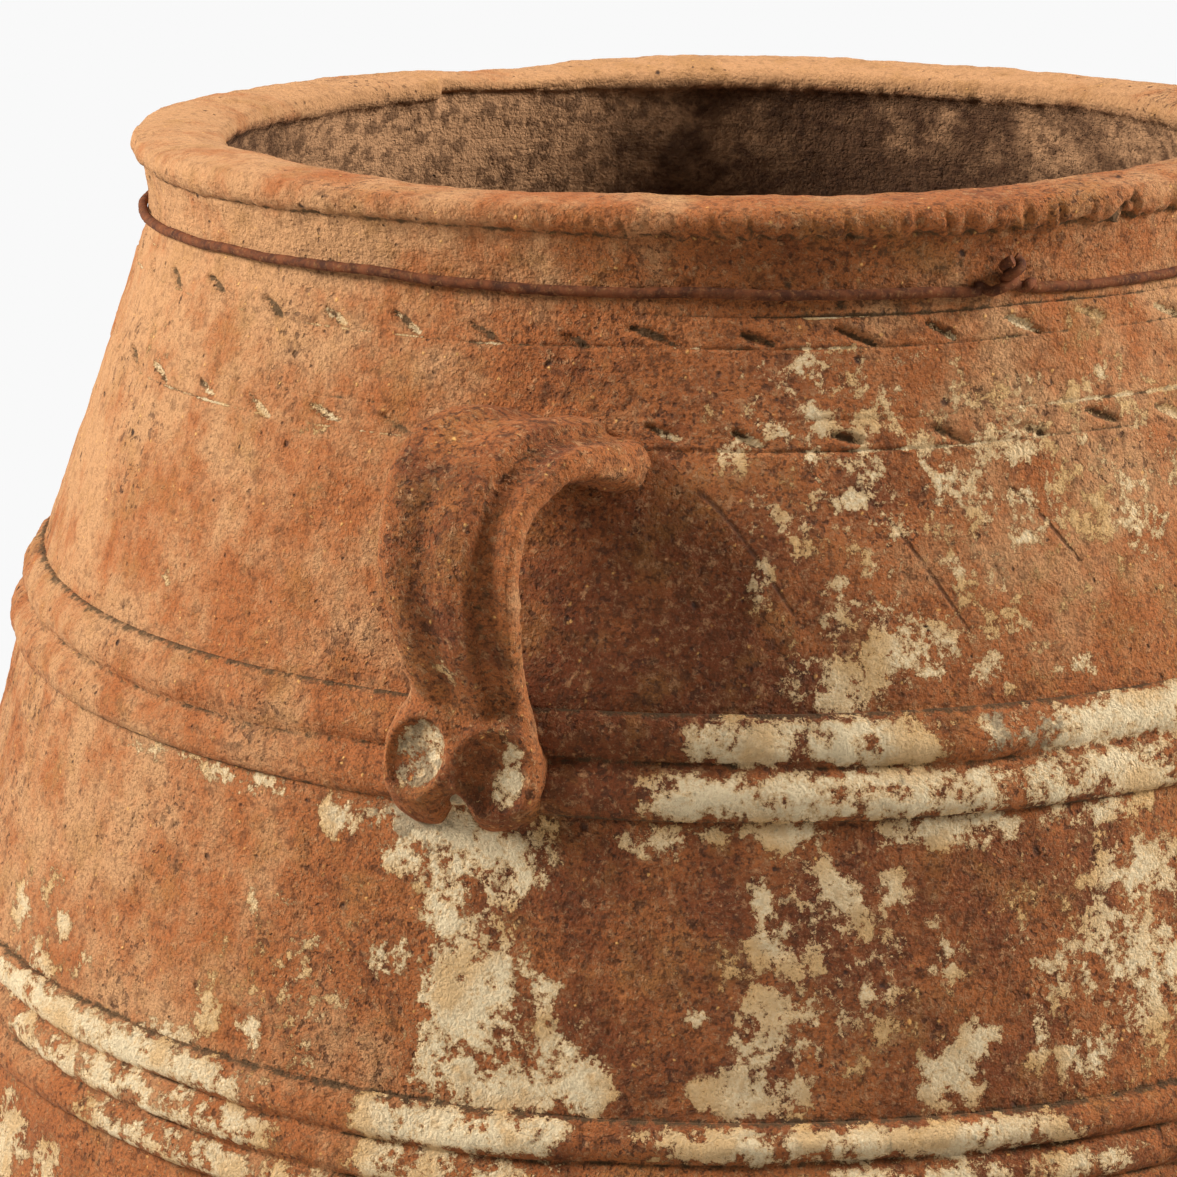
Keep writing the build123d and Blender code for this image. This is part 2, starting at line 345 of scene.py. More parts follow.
# Lime along the ridges of the two upper bands
BAND_LIME = [Strip(*row) for row in (
    ("shoulder_band", 0, 15, 33, 0.85), ("shoulder_band", 0, 35, 41, 0.7, 0.8),
    ("shoulder_band", 0, 40, 60, 0.92), ("shoulder_band", 1, 12, 37, 0.82),
    ("shoulder_band", 1, -5, 3, 1.0, 0.9), ("shoulder_band", 1, 37, 60, 0.78),
    ("upper_belly_band", 0, -48, -13, 0.85), ("upper_belly_band", 0, -6, 8, 0.95),
    ("upper_belly_band", 0, 12, 40, 0.7), ("upper_belly_band", 1, -40, -12, 0.75),
    ("upper_belly_band", 1, -6, 8, 0.7), ("upper_belly_band", 1, 22, 44, 0.65),
    ("upper_belly_band", 2, -30, 0, 0.6),
)]


@dataclass
class WeatheringAndPaintedLight:
    """Where lime, soil, painted shade and painted light lie on the outside of the jar."""

    bands: dict[str, tuple[float, float, int]]
    seed: int = 11
    unseen_patches: int = 230
    unseen_flecks: int = 26
    unseen_strips: int = 14
    behind_share: float = 0.72
    # First and last turn in degrees and height in millimetres that the lists leave bare
    bare_behind: tuple[float, ...] = (68, 300, 60, 945)
    bare_front: tuple[float, ...] = (-60, 68, 60, 650)
    patches: list[Patch] = field(default_factory=list)
    strips: list[Strip] = field(default_factory=list)

    def __post_init__(self) -> None:
        """Adds seeded patches and strips all over the sides that the listed ones leave bare."""
        self.patches = HANDLE_LIME + BELLY_LIME + SHOULDER_LIME + THIN_LIME
        self.strips = list(BAND_LIME)
        draw = np.random.default_rng(self.seed)
        for _ in range(self.unseen_patches):
            behind = draw.random() < self.behind_share
            first, last, low, high = self.bare_behind if behind else self.bare_front
            turn, height = draw.uniform(first, last), draw.uniform(low, high)
            size = 5 + 17 * draw.random() ** 2
            tall = size * draw.uniform(0.6, 1.7)
            self.patches.append(Patch(turn, height, size, tall, draw.uniform(0.5, 0.95)))
        for _ in range(self.unseen_flecks):
            turn, height = draw.uniform(85, 290), draw.uniform(120, 930)
            wide, tall = draw.uniform(25, 60), draw.uniform(20, 45)
            self.patches.append(Patch(turn, height, wide, tall, draw.uniform(0.3, 0.42)))
        listed = {strip.band for strip in BAND_LIME}
        for name, (_, _, ridges) in self.bands.items():
            for _ in range(self.unseen_strips):
                first = draw.uniform(66, 300) if name in listed else draw.uniform(0, 360)
                cover = draw.uniform(0.55, 0.85)
                ridge = int(draw.integers(ridges))
                self.strips.append(Strip(name, ridge, first, first + draw.uniform(8, 30), cover))

    def tone(self, turn: np.ndarray, height: np.ndarray) -> np.ndarray:
        """Tone of the clay, with painted shade and light in some zones: above 0 paler, below 0 deeper.

        Args:
            turn: Turns in radians.
            height: Heights in metres.

        Returns:
            Tones, mostly within -2 to 2.
        """
        drift = Ripple(71, (1, 2, 3, 5))(turn + 2.0 * height) + Ripple(72, (2, 3, 4))(turn - 5.0 * height)
        shown = np.zeros_like(turn)
        weight = np.zeros_like(turn)
        for zone in CLAY_ZONES:
            across = turn_gap(turn, math.radians(zone.turn)) / math.radians(zone.half_turn)
            up = (height - zone.height * MM) / (zone.half_height * MM)
            pull = np.exp(-0.8 * (across ** 2 + up ** 2))
            shown += zone.tone * pull
            weight += pull
        return shown / np.maximum(weight, 1.0) + 0.3 * drift * unit(1 - weight)

    @staticmethod
    def inside_tone(turn: np.ndarray) -> np.ndarray:
        """Tone of the deposit inside, palest on the side left of the front handle.

        Args:
            turn: Turns in radians.

        Returns:
            Tones.
        """
        left = bump(turn_gap(turn, math.radians(-122)), 0.5)
        right = bump(turn_gap(turn, math.radians(135)), 0.45)
        return 2.2 * left + 1.2 * right - 0.9

    def lime(self, turn: np.ndarray, height: np.ndarray) -> tuple[np.ndarray, np.ndarray]:
        """Lime on the wall.

        Args:
            turn: Turns in radians.
            height: Heights in metres, of the same shape.

        Returns:
            Cover, about 0.5 at the edge of a patch, and greyness, both 0 to 1.
        """
        cover = np.zeros_like(turn)
        grey = np.zeros_like(turn)
        radius = OUTLINE.outer(height)
        for patch in self.patches:
            across = turn_gap(turn, math.radians(patch.turn)) * radius / (patch.half_width * MM)
            up = (height - patch.height * MM) / (patch.half_height * MM)
            reach = unit(1.2 - 0.65 * np.hypot(across, up))
            cover = np.maximum(cover, patch.cover * reach)
            grey = np.maximum(grey, patch.grey * reach)
        return cover, grey

    def band_lime(
        self, name: str, turn: np.ndarray, ridge_place: np.ndarray,
    ) -> tuple[np.ndarray, np.ndarray]:
        """Lime on a band.

        Args:
            name: Node of the band.
            turn: Turns in radians.
            ridge_place: Place down the band in ridges, 0 at its top edge.

        Returns:
            Cover and greyness, both 0 to 1.
        """
        cover = np.zeros_like(turn)
        grey = np.zeros_like(turn)
        for strip in self.strips:
            if strip.band != name:
                continue
            middle = math.radians((strip.first + strip.last) / 2)
            half = math.radians((strip.last - strip.first) / 2)
            along = np.abs(turn_gap(turn, middle)) / half
            down = np.abs(ridge_place - strip.ridge - 0.5) / 0.5
            reach = unit(3.2 - 2.7 * along) * unit(1.9 - 1.5 * down)
            cover = np.maximum(cover, strip.cover * reach)
            grey = np.maximum(grey, strip.grey * reach)
        return cover, grey

    def dirt_and_shade(self, turn: np.ndarray, height: np.ndarray) -> np.ndarray:
        """Soil along the top edges of the bands, and painted shade under their lower edges.

        Args:
            turn: Turns in radians.
            height: Heights in metres.

        Returns:
            Soil and painted shade from 0 to 1.
        """
        soil_and_shade = np.zeros_like(turn)
        for low, high, _ in self.bands.values():
            soil_and_shade = np.maximum(soil_and_shade, 0.8 * bump(height - high, 1.4 * MM))
            soil_and_shade = np.maximum(soil_and_shade, 0.6 * bump(height - low, 1.4 * MM))
        return soil_and_shade


@dataclass
class Skin:
    """Grid of a piece's surface by row and column: points, outward directions, and what the weather did with
    the painted shade and light on it.
    """

    points: np.ndarray
    outward: np.ndarray
    tone: np.ndarray
    relief: np.ndarray | float = 0.0
    exposed: np.ndarray | float = 1.0
    lime: np.ndarray | float = 0.0
    dirt_and_shade: np.ndarray | float = 0.0
    inside: np.ndarray | float = 0.0
    grey: np.ndarray | float = 0.0
    sharp_rows: Sequence[int] = ()
    ring: bool = True

    def mesh(self, name: str) -> bpy.types.Mesh:
        """Closed quad mesh of the grid, with its fields as attributes.

        Args:
            name: Name of the mesh.

        Returns:
            A mesh whose columns close on themselves, and whose rows close or are capped.
        """
        rows, columns = self.points.shape[:2]
        last = rows if self.ring else rows - 1
        i, j = np.meshgrid(np.arange(last), np.arange(columns), indexing="ij")
        above, beside = (i + 1) % rows, (j + 1) % columns
        corners = [(i, j), (i, beside), (above, beside), (above, j)]
        quads = np.stack([a * columns + b for a, b in corners], -1).reshape(-1, 4)
        loops = quads.ravel()
        starts = np.arange(len(quads)) * 4
        if not self.ring:
            caps = np.concatenate([np.arange(columns)[::-1], (rows - 1) * columns + np.arange(columns)])
            starts = np.concatenate([starts, [len(loops), len(loops) + columns]])
            loops = np.concatenate([loops, caps])
        mesh = bpy.data.meshes.new(name)
        mesh.vertices.add(rows * columns)
        mesh.vertices.foreach_set("co", self.points.astype(np.float32).ravel())
        mesh.loops.add(len(loops))
        mesh.loops.foreach_set("vertex_index", loops.astype(np.int32))
        mesh.polygons.add(len(starts))
        mesh.polygons.foreach_set("loop_start", starts.astype(np.int32))
        mesh.update(calc_edges=True)
        mesh.polygons.foreach_set("use_smooth", np.ones(len(starts), bool))
        self.mark_sharp(mesh, columns)
        outward = mesh.attributes.new("outward", "FLOAT_VECTOR", "POINT")
        outward.data.foreach_set("vector", self.outward.astype(np.float32).ravel())
        for label in ("relief", "exposed", "lime", "dirt_and_shade", "inside", "tone", "grey"):
            layer = mesh.attributes.new(label, "FLOAT", "POINT")
            values = np.broadcast_to(getattr(self, label), (rows, columns))
            layer.data.foreach_set("value", values.astype(np.float32).ravel())
        return mesh

    def mark_sharp(self, mesh: bpy.types.Mesh, columns: int) -> None:
        """Marks the edges along the sharp rows, so that shading doesn't run round them.

        Args:
            mesh: Mesh of the grid.
            columns: Columns of the grid.
        """
        ends = np.zeros(len(mesh.edges) * 2, np.int32)
        mesh.edges.foreach_get("vertices", ends)
        rows = ends.reshape(-1, 2) // columns
        flags = (rows[:, 0] == rows[:, 1]) & np.isin(rows[:, 0], list(self.sharp_rows))
        layer = mesh.attributes.new("sharp_edge", "BOOLEAN", "EDGE")
        layer.data.foreach_set("value", flags)


def turns_round(columns: int) -> np.ndarray:
    """Evenly spaced turns all round, in radians."""
    return np.arange(columns) * (2 * np.pi / columns)


def around(radius: np.ndarray, turn: np.ndarray, height: np.ndarray) -> np.ndarray:
    """Points at that radius, turn and height."""
    return np.stack([radius * np.sin(turn), -radius * np.cos(turn), height * np.ones_like(turn)], -1)


def start_tree(name: str, numbers: Sequence[str]) -> bpy.types.NodeTree:
    """New geometry tree that takes a geometry, numbers and a finish, and gives a geometry.

    Args:
        name: Name of the tree.
        numbers: Names of its number inputs.

    Returns:
        The tree, without nodes.
    """
    tree = bpy.data.node_groups.new(name, "GeometryNodeTree")
    kinds = {"Geometry": "Geometry", **dict.fromkeys(numbers, "Float"), "Finish": "Material"}
    for label, kind in kinds.items():
        tree.interface.new_socket(label, in_out="INPUT", socket_type=f"NodeSocket{kind}")
    tree.interface.new_socket("Geometry", in_out="OUTPUT", socket_type="NodeSocketGeometry")
    return tree


def end_tree(tree: bpy.types.NodeTree, entry: bpy.types.Node, shape: bpy.types.Node) -> None:
    """Makes a geometry tree's result real and gives it the finish.

    Args:
        tree: The tree.
        entry: Its input node.
        shape: Node with the finished shape.
    """
    real = add(tree, "GeometryNodeRealizeInstances", {"Geometry": shape})
    dressed = add(tree, "GeometryNodeSetMaterial", {"Geometry": real, "Material": entry.outputs["Finish"]})
    add(tree, "NodeGroupOutput", {"Geometry": dressed})


class ClayRelief:
    """Geometry tree that pushes a clay surface out by its relief and by the unevenness of hand-built clay."""

    name = "clay_relief"
    # Name, size of the features, finer octaves and height, with sizes in millimetres
    noises = (("Wobble", 190.0, 1.0, 8.0), ("Lumps", 26.0, 3.0, 3.4), ("Grain", 6.0, 2.0, 1.3))

    def __init__(self) -> None:
        """Builds the tree."""
        tree = start_tree(self.name, [noise[0] for noise in self.noises])
        entry = add(tree, "NodeGroupInput")
        place = add(tree, "GeometryNodeInputPosition")
        fields = {}
        for label, kind in (("relief", "FLOAT"), ("exposed", "FLOAT"), ("outward", "FLOAT_VECTOR")):
            node = add(tree, "GeometryNodeInputNamedAttribute", {"Name": label}, data_type=kind)
            fields[label] = next(s for s in node.outputs if s.enabled)
        total = fields["relief"]
        for label, size, detail, _ in self.noises:
            noise = add(tree, "ShaderNodeTexNoise", {
                "Vector": place, "Scale": per_metre(size), "Detail": detail, "Roughness": 0.55,
            })
            centred = add(tree, "ShaderNodeMath", {0: noise, 1: 0.5}, operation="SUBTRACT")
            scaled = add(tree, "ShaderNodeMath", {0: centred, 1: entry.outputs[label]}, operation="MULTIPLY")
            total = add(tree, "ShaderNodeMath", {0: scaled, 1: fields["exposed"], 2: total},
                        operation="MULTIPLY_ADD")
        push = add(tree, "ShaderNodeVectorMath", {"Vector": fields["outward"], "Scale": total},
                   operation="SCALE")
        moved = add(tree, "GeometryNodeSetPosition", {"Geometry": entry.outputs["Geometry"], "Offset": push})
        end_tree(tree, entry, moved)
        self.tree = tree

    def inputs(self, finish: bpy.types.Material) -> dict[str, Any]:
        """Values for the tree's inputs."""
        return {"Finish": finish, **{label: height * MM for label, _, _, height in self.noises}}


def run_tree(
    source: bpy.types.ID, tree: bpy.types.NodeTree, inputs: dict[str, Any], name: str,
) -> bpy.types.Object:
    """Runs a geometry tree on a mesh or a curve and keeps the result as the plain mesh of a new object.

    Args:
        source: Mesh or curve, which is used up.
        tree: Geometry tree.
        inputs: Values by the names of the tree's inputs.
        name: Name of the object.

    Returns:
        The object.
    """
    draft = new_object(f"{name}_draft", source)
    modifier = draft.modifiers.new(tree.name, "NODES")
    modifier.node_group = tree
    for item in tree.interface.items_tree:
        if item.in_out == "INPUT" and item.name in inputs:
            modifier[item.identifier] = inputs[item.name]
    draft.update_tag()
    graph = bpy.context.evaluated_depsgraph_get()
    graph.update()
    evaluated = draft.evaluated_get(graph)
    mesh = bpy.data.meshes.new_from_object(evaluated, preserve_all_data_layers=True, depsgraph=graph)
    mesh.name = name
    bpy.data.objects.remove(draft)
    bpy.data.batch_remove([source])
    return new_object(name, mesh)


def place_piece(obj: bpy.types.Object, slot: Slot, *nodes: str) -> None:
    """Puts a finished piece on the frame and logs its size.

    Args:
        obj: Finished piece.
        slot: Material slot of the record; it is not used.
        nodes: CAD nodes that it stands for.
    """
    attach(obj, BODY)
    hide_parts(*nodes)
    obj.data.calc_loop_triangles()
    log.info("%s: %d triangles", obj.name, len(obj.data.loop_triangles))


def new_object(name: str, data: bpy.types.ID) -> bpy.types.Object:
    """New object in the scene's collection.

    Args:
        name: Name of the object.
        data: Mesh, curve, light or camera.

    Returns:
        The object, at the origin.
    """
    obj = bpy.data.objects.new(name, data)
    bpy.context.scene.collection.objects.link(obj)
    return obj


class Noise(Enum):
    """Noises of the finishes: size of the features in millimetres, finer octaves and their weight."""

    DRIFT = (55, 3, 0.5)
    BROAD = (34, 5, 0.68)
    MIDDLE = (24, 4, 0.66)
    BLOTCH = (8, 5, 0.66)
    CLOD = (5, 5, 0.7)
    SAND = (4.4, 4, 0.74)
    SPECK = (3.4, 2, 0.6)
    DUST = (1.7, 4, 0.74)
    RUST = (6, 6, 0.7)
    SCALE = (1.8, 4, 0.7)


class Surface:
    """Shader in the making: its tree, the place on the object, and the colour and height laid so far."""

    def __init__(self, name: str, base: str, fields: Sequence[str] = ()) -> None:
        """Starts from a bare colour.

        Args:
            name: Name of the material.
            base: Colour code of the bare surface.
            fields: Names of the values that a piece carries at each point.
        """
        self.material = bpy.data.materials.new(name)
        self.tree = empty_tree(self.material)
        self.place = add(self.tree, "ShaderNodeTexCoord").outputs["Object"]
        self.colour: Any = linear(base)
        self.height: Any = 0.0
        self.noises: dict[Noise, bpy.types.Node] = {}
        self.fields = {
            label: add(self.tree, "ShaderNodeAttribute", attribute_name=label).outputs["Fac"]
            for label in fields
        }

    def share(
        self, noise: Noise, low: float, high: float, push: Any = 0.0, gain: float = 1.0, weight: Any = 1.0,
    ) -> bpy.types.Node:
        """Patchy share that a noise gives.

        Args:
            noise: The noise.
            low: Its value where the share is 0.
            high: Its value where the share is 1.
            push: Value that moves it.
            gain: Factor on the push.
            weight: Value that the share is multiplied by.

        Returns:
            Node whose value goes from 0 to the weight.
        """
        if noise not in self.noises:
            size, detail, rough = noise.value
            self.noises[noise] = add(self.tree, "ShaderNodeTexNoise", {
                "Vector": self.place, "Scale": per_metre(size), "Detail": detail, "Roughness": rough,
            })
        pushed = add(self.tree, "ShaderNodeMath", {0: push, 1: gain, 2: self.noises[noise]},
                     operation="MULTIPLY_ADD")
        eased = add(self.tree, "ShaderNodeMapRange", {"Value": pushed, "From Min": low, "From Max": high},
                    interpolation_type="SMOOTHSTEP")
        return add(self.tree, "ShaderNodeMath", {0: eased, 1: weight}, operation="MULTIPLY")

    def lay(self, share: Any, tint: Any, strength: float = 1.0, rise: float = 0.0) -> None:
        """Lays a tint where a share is, and raises the surface there.

        Args:
            share: Socket or node with a value from 0 to 1.
            tint: Colour code, or a socket with a colour.
            strength: Share of the tint where the value is 1.
            rise: Rise there in millimetres.
        """
        if isinstance(tint, str):
            tint = linear(tint)
        part = add(self.tree, "ShaderNodeMath", {0: share, 1: strength}, operation="MULTIPLY")
        mix = add(self.tree, "ShaderNodeMix", {"Factor_Float": part, "A_Color": self.colour, "B_Color": tint},
                  data_type="RGBA")
        self.colour = socket(mix.outputs, "Result_Color")
        if rise:
            self.height = add(self.tree, "ShaderNodeMath", {0: share, 1: rise, 2: self.height},
                              operation="MULTIPLY_ADD")

    def roughen(self, size: float, detail: float, rise: float, stretch: Sequence[float] = (1, 1, 1)) -> None:
        """Makes the surface uneven by a noise.

        Args:
            size: Size of its features in millimetres.
            detail: Finer octaves of the noise.
            rise: Rise in millimetres.
            stretch: Factors on the place, below 1 along an axis that the features are drawn out along.
        """
        drawn = add(self.tree, "ShaderNodeVectorMath", {0: self.place, 1: tuple(stretch)},
                    operation="MULTIPLY")
        noise = add(self.tree, "ShaderNodeTexNoise", {
            "Vector": drawn, "Scale": per_metre(size), "Detail": detail, "Roughness": 0.62,
        })
        self.height = add(self.tree, "ShaderNodeMath", {0: noise, 1: rise, 2: self.height},
                          operation="MULTIPLY_ADD")

    def finish(self, roughness: float, specular: float) -> bpy.types.Material:
        """Ends the shader.

        Args:
            roughness: Roughness of the surface.
            specular: Level of its reflection.

        Returns:
            The material.
        """
        relief = add(self.tree, "ShaderNodeBump", {"Height": self.height, "Strength": 1.0, "Distance": MM})
        surface = add(self.tree, "ShaderNodeBsdfPrincipled", {
            "Base Color": self.colour, "Roughness": roughness, "Specular IOR Level": specular,
            "Normal": relief,
        })
        add(self.tree, "ShaderNodeOutputMaterial", {"Surface": surface})
        return self.material


@dataclass(frozen=True)
class Terracotta:
    """Unglazed fired clay, weathered: warm and dry, dark-spotted, with worn lime, and soil and painted shade
    in its grooves.
    """

    clay_pale: str = "#BA885B"
    clay_mid: str = "#A15D2F"
    clay_deep: str = "#71391A"
    clay_dark: str = "#4A2912"
    ochre: str = "#996B36"
    spot: str = "#342015"
    # Olive-brown of the soil, also laid as painted shade in grooves, hollows and under edges
    soil_and_shade: str = "#45351E"
    lime_cream: str = "#FDE3B6"
    lime_yellow: str = "#DEA65E"
    lime_grey: str = "#967F60"
    lime_dark: str = "#966A3C"
    crust_dark: str = "#40230F"
    crust_pale: str = "#BA8B62"
    scratch_power: float = 1.3
    scratch_fall: float = 3.26

    def material(self) -> bpy.types.Material:
        """Builds the shader from the clay outwards.

        Returns:
            The material.
        """
        # Open-pored clay scatters light evenly: no highlight, and only its grain and its lime catch the light
        surface = Surface("unglazed_terracotta", self.clay_mid, ("tone", "inside", "dirt_and_shade", "lime", "grey"))
        self.clay(surface)
        self.pitting(surface)
        self.scratches(surface)
        self.crust(surface)
        self.darken_grooves(surface)
        self.lime(surface)
        return surface.finish(roughness=0.88, specular=0.25)

    def clay(self, surface: Surface) -> None:
        """Lays tan and red-brown clouds, ochre dust, dark stains and specks, sandy grain and wiping marks.

        Args:
            surface: Shader in the making.
        """
        tone = surface.fields["tone"]
        # The tone also carries painted shadow beside the front handle, painted light on the rim at the back
        # and painted highlights on the strap's borders
        surface.lay(surface.share(Noise.BROAD, 0.5, 0.22, tone, 0.24), self.clay_deep)
        surface.lay(surface.share(Noise.BROAD, 0.5, 0.78, tone, 0.24), self.clay_pale)
        surface.lay(surface.share(Noise.MIDDLE, 0.5, 0.68), self.ochre, 0.4)
        region = surface.share(Noise.DRIFT, 0.43, 0.57, tone, -0.1)
        surface.lay(surface.share(Noise.BLOTCH, 0.53, 0.68, weight=region), self.clay_dark, 0.55)
        surface.lay(surface.share(Noise.SPECK, 0.58, 0.66, weight=region), self.spot, 0.6, -0.4)
        worn = add(surface.tree, "ShaderNodeMapRange", {
            "Value": tone, "From Min": 1.0, "From Max": 0.0, "To Min": 0.4,
        })
        for grain in (Noise.SAND, Noise.DUST):
            surface.lay(surface.share(grain, 0.51, 0.62, weight=worn), self.clay_dark, 0.68)
            surface.lay(surface.share(grain, 0.46, 0.33, weight=worn), self.clay_pale, 0.68, 0.5)
        surface.roughen(3.5, 3, 0.9, (0.12, 0.12, 1.0))
        surface.roughen(1.4, 2, 0.9)
        surface.roughen(8, 3, 1.6)

    def pitting(self, surface: Surface) -> None:
        """Adds pin-sized pits, larger holes and pale grits, each to some of the cells of a broken net.

        Args:
            surface: Shader in the making.
        """
        shake = add(surface.tree, "ShaderNodeTexNoise", {"Vector": surface.place, "Scale": per_metre(3)})
        shaken = add(surface.tree, "ShaderNodeVectorMath", {
            0: shake.outputs["Color"], 1: (2.4 * MM,) * 3, 2: surface.place,
        }, operation="MULTIPLY_ADD")
        # Size of a cell in millimetres, core and edge of its dot, tint, strength and rise
        kinds = ((5.0, 0.06, 0.18, self.spot, 0.8, -0.9), (15.0, 0.05, 0.12, self.spot, 0.95, -1.6),
                 (4.5, 0.06, 0.18, self.lime_yellow, 0.85, 0.3))
        for size, core, edge, tint, strength, rise in kinds:
            cells = add(surface.tree, "ShaderNodeTexVoronoi", {"Vector": shaken, "Scale": per_metre(size)})
            drawn = add(surface.tree, "ShaderNodeSeparateColor", {0: cells.outputs["Color"]})
            some = add(surface.tree, "ShaderNodeMapRange", {
                "Value": drawn, "From Min": 0.55, "From Max": 0.9,
            })
            dot = add(surface.tree, "ShaderNodeMapRange", {
                "Value": cells.outputs["Distance"], "From Min": edge, "From Max": core,
            })
            share = add(surface.tree, "ShaderNodeMath", {0: dot, 1: some}, operation="MULTIPLY")
            surface.lay(share, tint, strength, rise)

    def scratches(self, surface: Surface) -> None:
        """Draws the scratches, each as a power curve on the plane that faces it, worn off in places.

        Args:
            surface: Shader in the making.
        """
        tree = surface.tree
        up = add(tree, "ShaderNodeSeparateXYZ", {0: surface.place}).outputs["Z"]
        kept = surface.share(Noise.BLOTCH, 0.36, 0.5)
        for scratch in SCRATCHES:
            sin, cos = math.sin(math.radians(scratch.turn)), math.cos(math.radians(scratch.turn))
            top = scratch.height * MM
            ways = [
                add(tree, "ShaderNodeVectorMath", {0: surface.place, 1: way}, operation="DOT_PRODUCT")
                for way in ((cos, sin, 0.0), (sin, -cos, 0.0))
            ]
            right, out = (way.outputs["Value"] for way in ways)
            fall = add(tree, "ShaderNodeMath", {0: right, 1: self.scratch_power}, operation="POWER")
            curve = add(tree, "ShaderNodeMath", {0: fall, 1: self.scratch_fall, 2: up},
                        operation="MULTIPLY_ADD")
            gap = add(tree, "ShaderNodeMath", {0: curve, 1: top}, operation="SUBTRACT")
            size = add(tree, "ShaderNodeMath", {0: gap}, operation="ABSOLUTE")
            part = add(tree, "ShaderNodeMapRange", {
                "Value": size, "From Min": 1.7 * MM, "From Max": 0.5 * MM, "To Max": kept,
            })
            for value, least in ((right, 0.0), (out, 0.0), (up, top - scratch.length * MM)):
                within = add(tree, "ShaderNodeMath", {0: value, 1: least}, operation="GREATER_THAN")
                part = add(tree, "ShaderNodeMath", {0: part, 1: within}, operation="MULTIPLY")
            surface.lay(part, self.clay_dark, 0.75, -0.9)

    def crust(self, surface: Surface) -> None:
        """Lays a brown mottled deposit on the inside of the wall.

        Args:
            surface: Shader in the making.
        """
        bare, tone = surface.colour, surface.fields["tone"]
        surface.colour = linear(self.crust_pale)
        surface.lay(surface.share(Noise.BROAD, 0.62, 0.3, tone, 0.25), self.crust_dark, 0.85)
        surface.lay(surface.share(Noise.BLOTCH, 0.48, 0.6), self.crust_dark, 0.62)
        surface.lay(surface.share(Noise.DUST, 0.5, 0.7), self.crust_dark, 0.2)
        deposit = surface.colour
        surface.colour = bare
        surface.lay(surface.fields["inside"], deposit)

    def darken_grooves(self, surface: Surface) -> None:
        """Lays olive-brown soil and painted shade in grooves, cuts and hollows and along edges."""
        surface.lay(surface.share(Noise.CLOD, 0.64, 0.84, surface.fields["dirt_and_shade"], 0.42), self.soil_and_shade, 0.85)

    def lime(self, surface: Surface) -> None:
        """Lays flaked limewash: cream, stained yellow and grey, standing a little proud with ragged edges.

        Args:
            surface: Shader in the making.
        """
        tree = surface.tree
        laid, grey = surface.fields["lime"], surface.fields["grey"]
        reach = add(tree, "ShaderNodeMapRange", {"Value": laid, "From Max": 0.5, "To Min": 0.15})
        flakes = add(tree, "ShaderNodeTexNoise", {
            "Vector": surface.place, "Scale": per_metre(12), "Detail": 8.0, "Roughness": 0.8,
        })
        spread = add(tree, "ShaderNodeMath", {0: flakes, 1: 5.0, 2: -2.5}, operation="MULTIPLY_ADD")
        broken = add(tree, "ShaderNodeMath", {0: spread, 1: reach, 2: laid}, operation="MULTIPLY_ADD")
        share = add(tree, "ShaderNodeMapRange", {"Value": broken, "From Min": 0.49, "From Max": 0.54})
        thin = add(tree, "ShaderNodeMapRange", {"Value": broken, "From Min": 0.95, "From Max": 0.5})
        bare = surface.colour
        surface.colour = linear(self.lime_cream)
        surface.lay(surface.share(Noise.MIDDLE, 0.5, 0.62), self.lime_yellow, 0.6)
        surface.lay(thin, self.lime_yellow, 0.75)
        surface.lay(surface.share(Noise.BLOTCH, 0.6, 0.74, grey, 0.24), self.lime_grey, 0.75)
        surface.lay(surface.share(Noise.DUST, 0.53, 0.68), self.lime_dark, 0.45)
        paint = surface.colour
        surface.colour = bare
        surface.lay(surface.share(Noise.DUST, 0.68, 0.32, weight=share), self.lime_cream, 0.0, 0.9)
        surface.lay(share, paint, 1.0, 0.5)


@dataclass(frozen=True)
class RustedIron:
    """Old iron wire: dull, brown, flaking, with darker scale."""

    rust_dark: str = "#432313"
    rust_red: str = "#744022"
    rust_pale: str = "#98683F"

    def material(self) -> bpy.types.Material:
        """Builds the shader from the scale outwards.

        Returns:
            The material.
        """
        # A skin of rust hides the metal: brown and dull, with powdery paler flakes
        surface = Surface("rusted_iron_wire", self.rust_dark)
        surface.lay(surface.share(Noise.RUST, 0.35, 0.65), self.rust_red, 1.0, 0.1)
        surface.lay(surface.share(Noise.SCALE, 0.5, 0.72), self.rust_pale, 0.7, 0.25)
        return surface.finish(roughness=0.85, specular=0.2)


@dataclass
class ClayKit:
    """What every clay piece needs: the relief tree, the finish, and the weathering with its painted shade and
    light.
    """

    relief: ClayRelief
    finish: bpy.types.Material
    weather_and_painted_light: WeatheringAndPaintedLight


@dataclass
class ClayPiece(ABC):
    """Piece of clay that stands for one node of the frame."""

    node: str

    @abstractmethod
    def skin(self, weather_and_painted_light: WeatheringAndPaintedLight) -> Skin:
        """Closed surface of the piece.

        Args:
            weather_and_painted_light: Where lime, soil, tones and painted shade and light lie.

        Returns:
            The surface, before the tree's unevenness.
        """

    def build(self, kit: ClayKit) -> None:
        """Makes the piece and puts it on the frame.

        Args:
            kit: Tree, finish, and weathering with its painted shade and light.
        """
        name = f"{self.node}_clay"
        mesh = self.skin(kit.weather_and_painted_light).mesh(name)
        obj = run_tree(mesh, kit.relief.tree, kit.relief.inputs(kit.finish), name)
        place_piece(obj, Slot.CLAY, self.node)


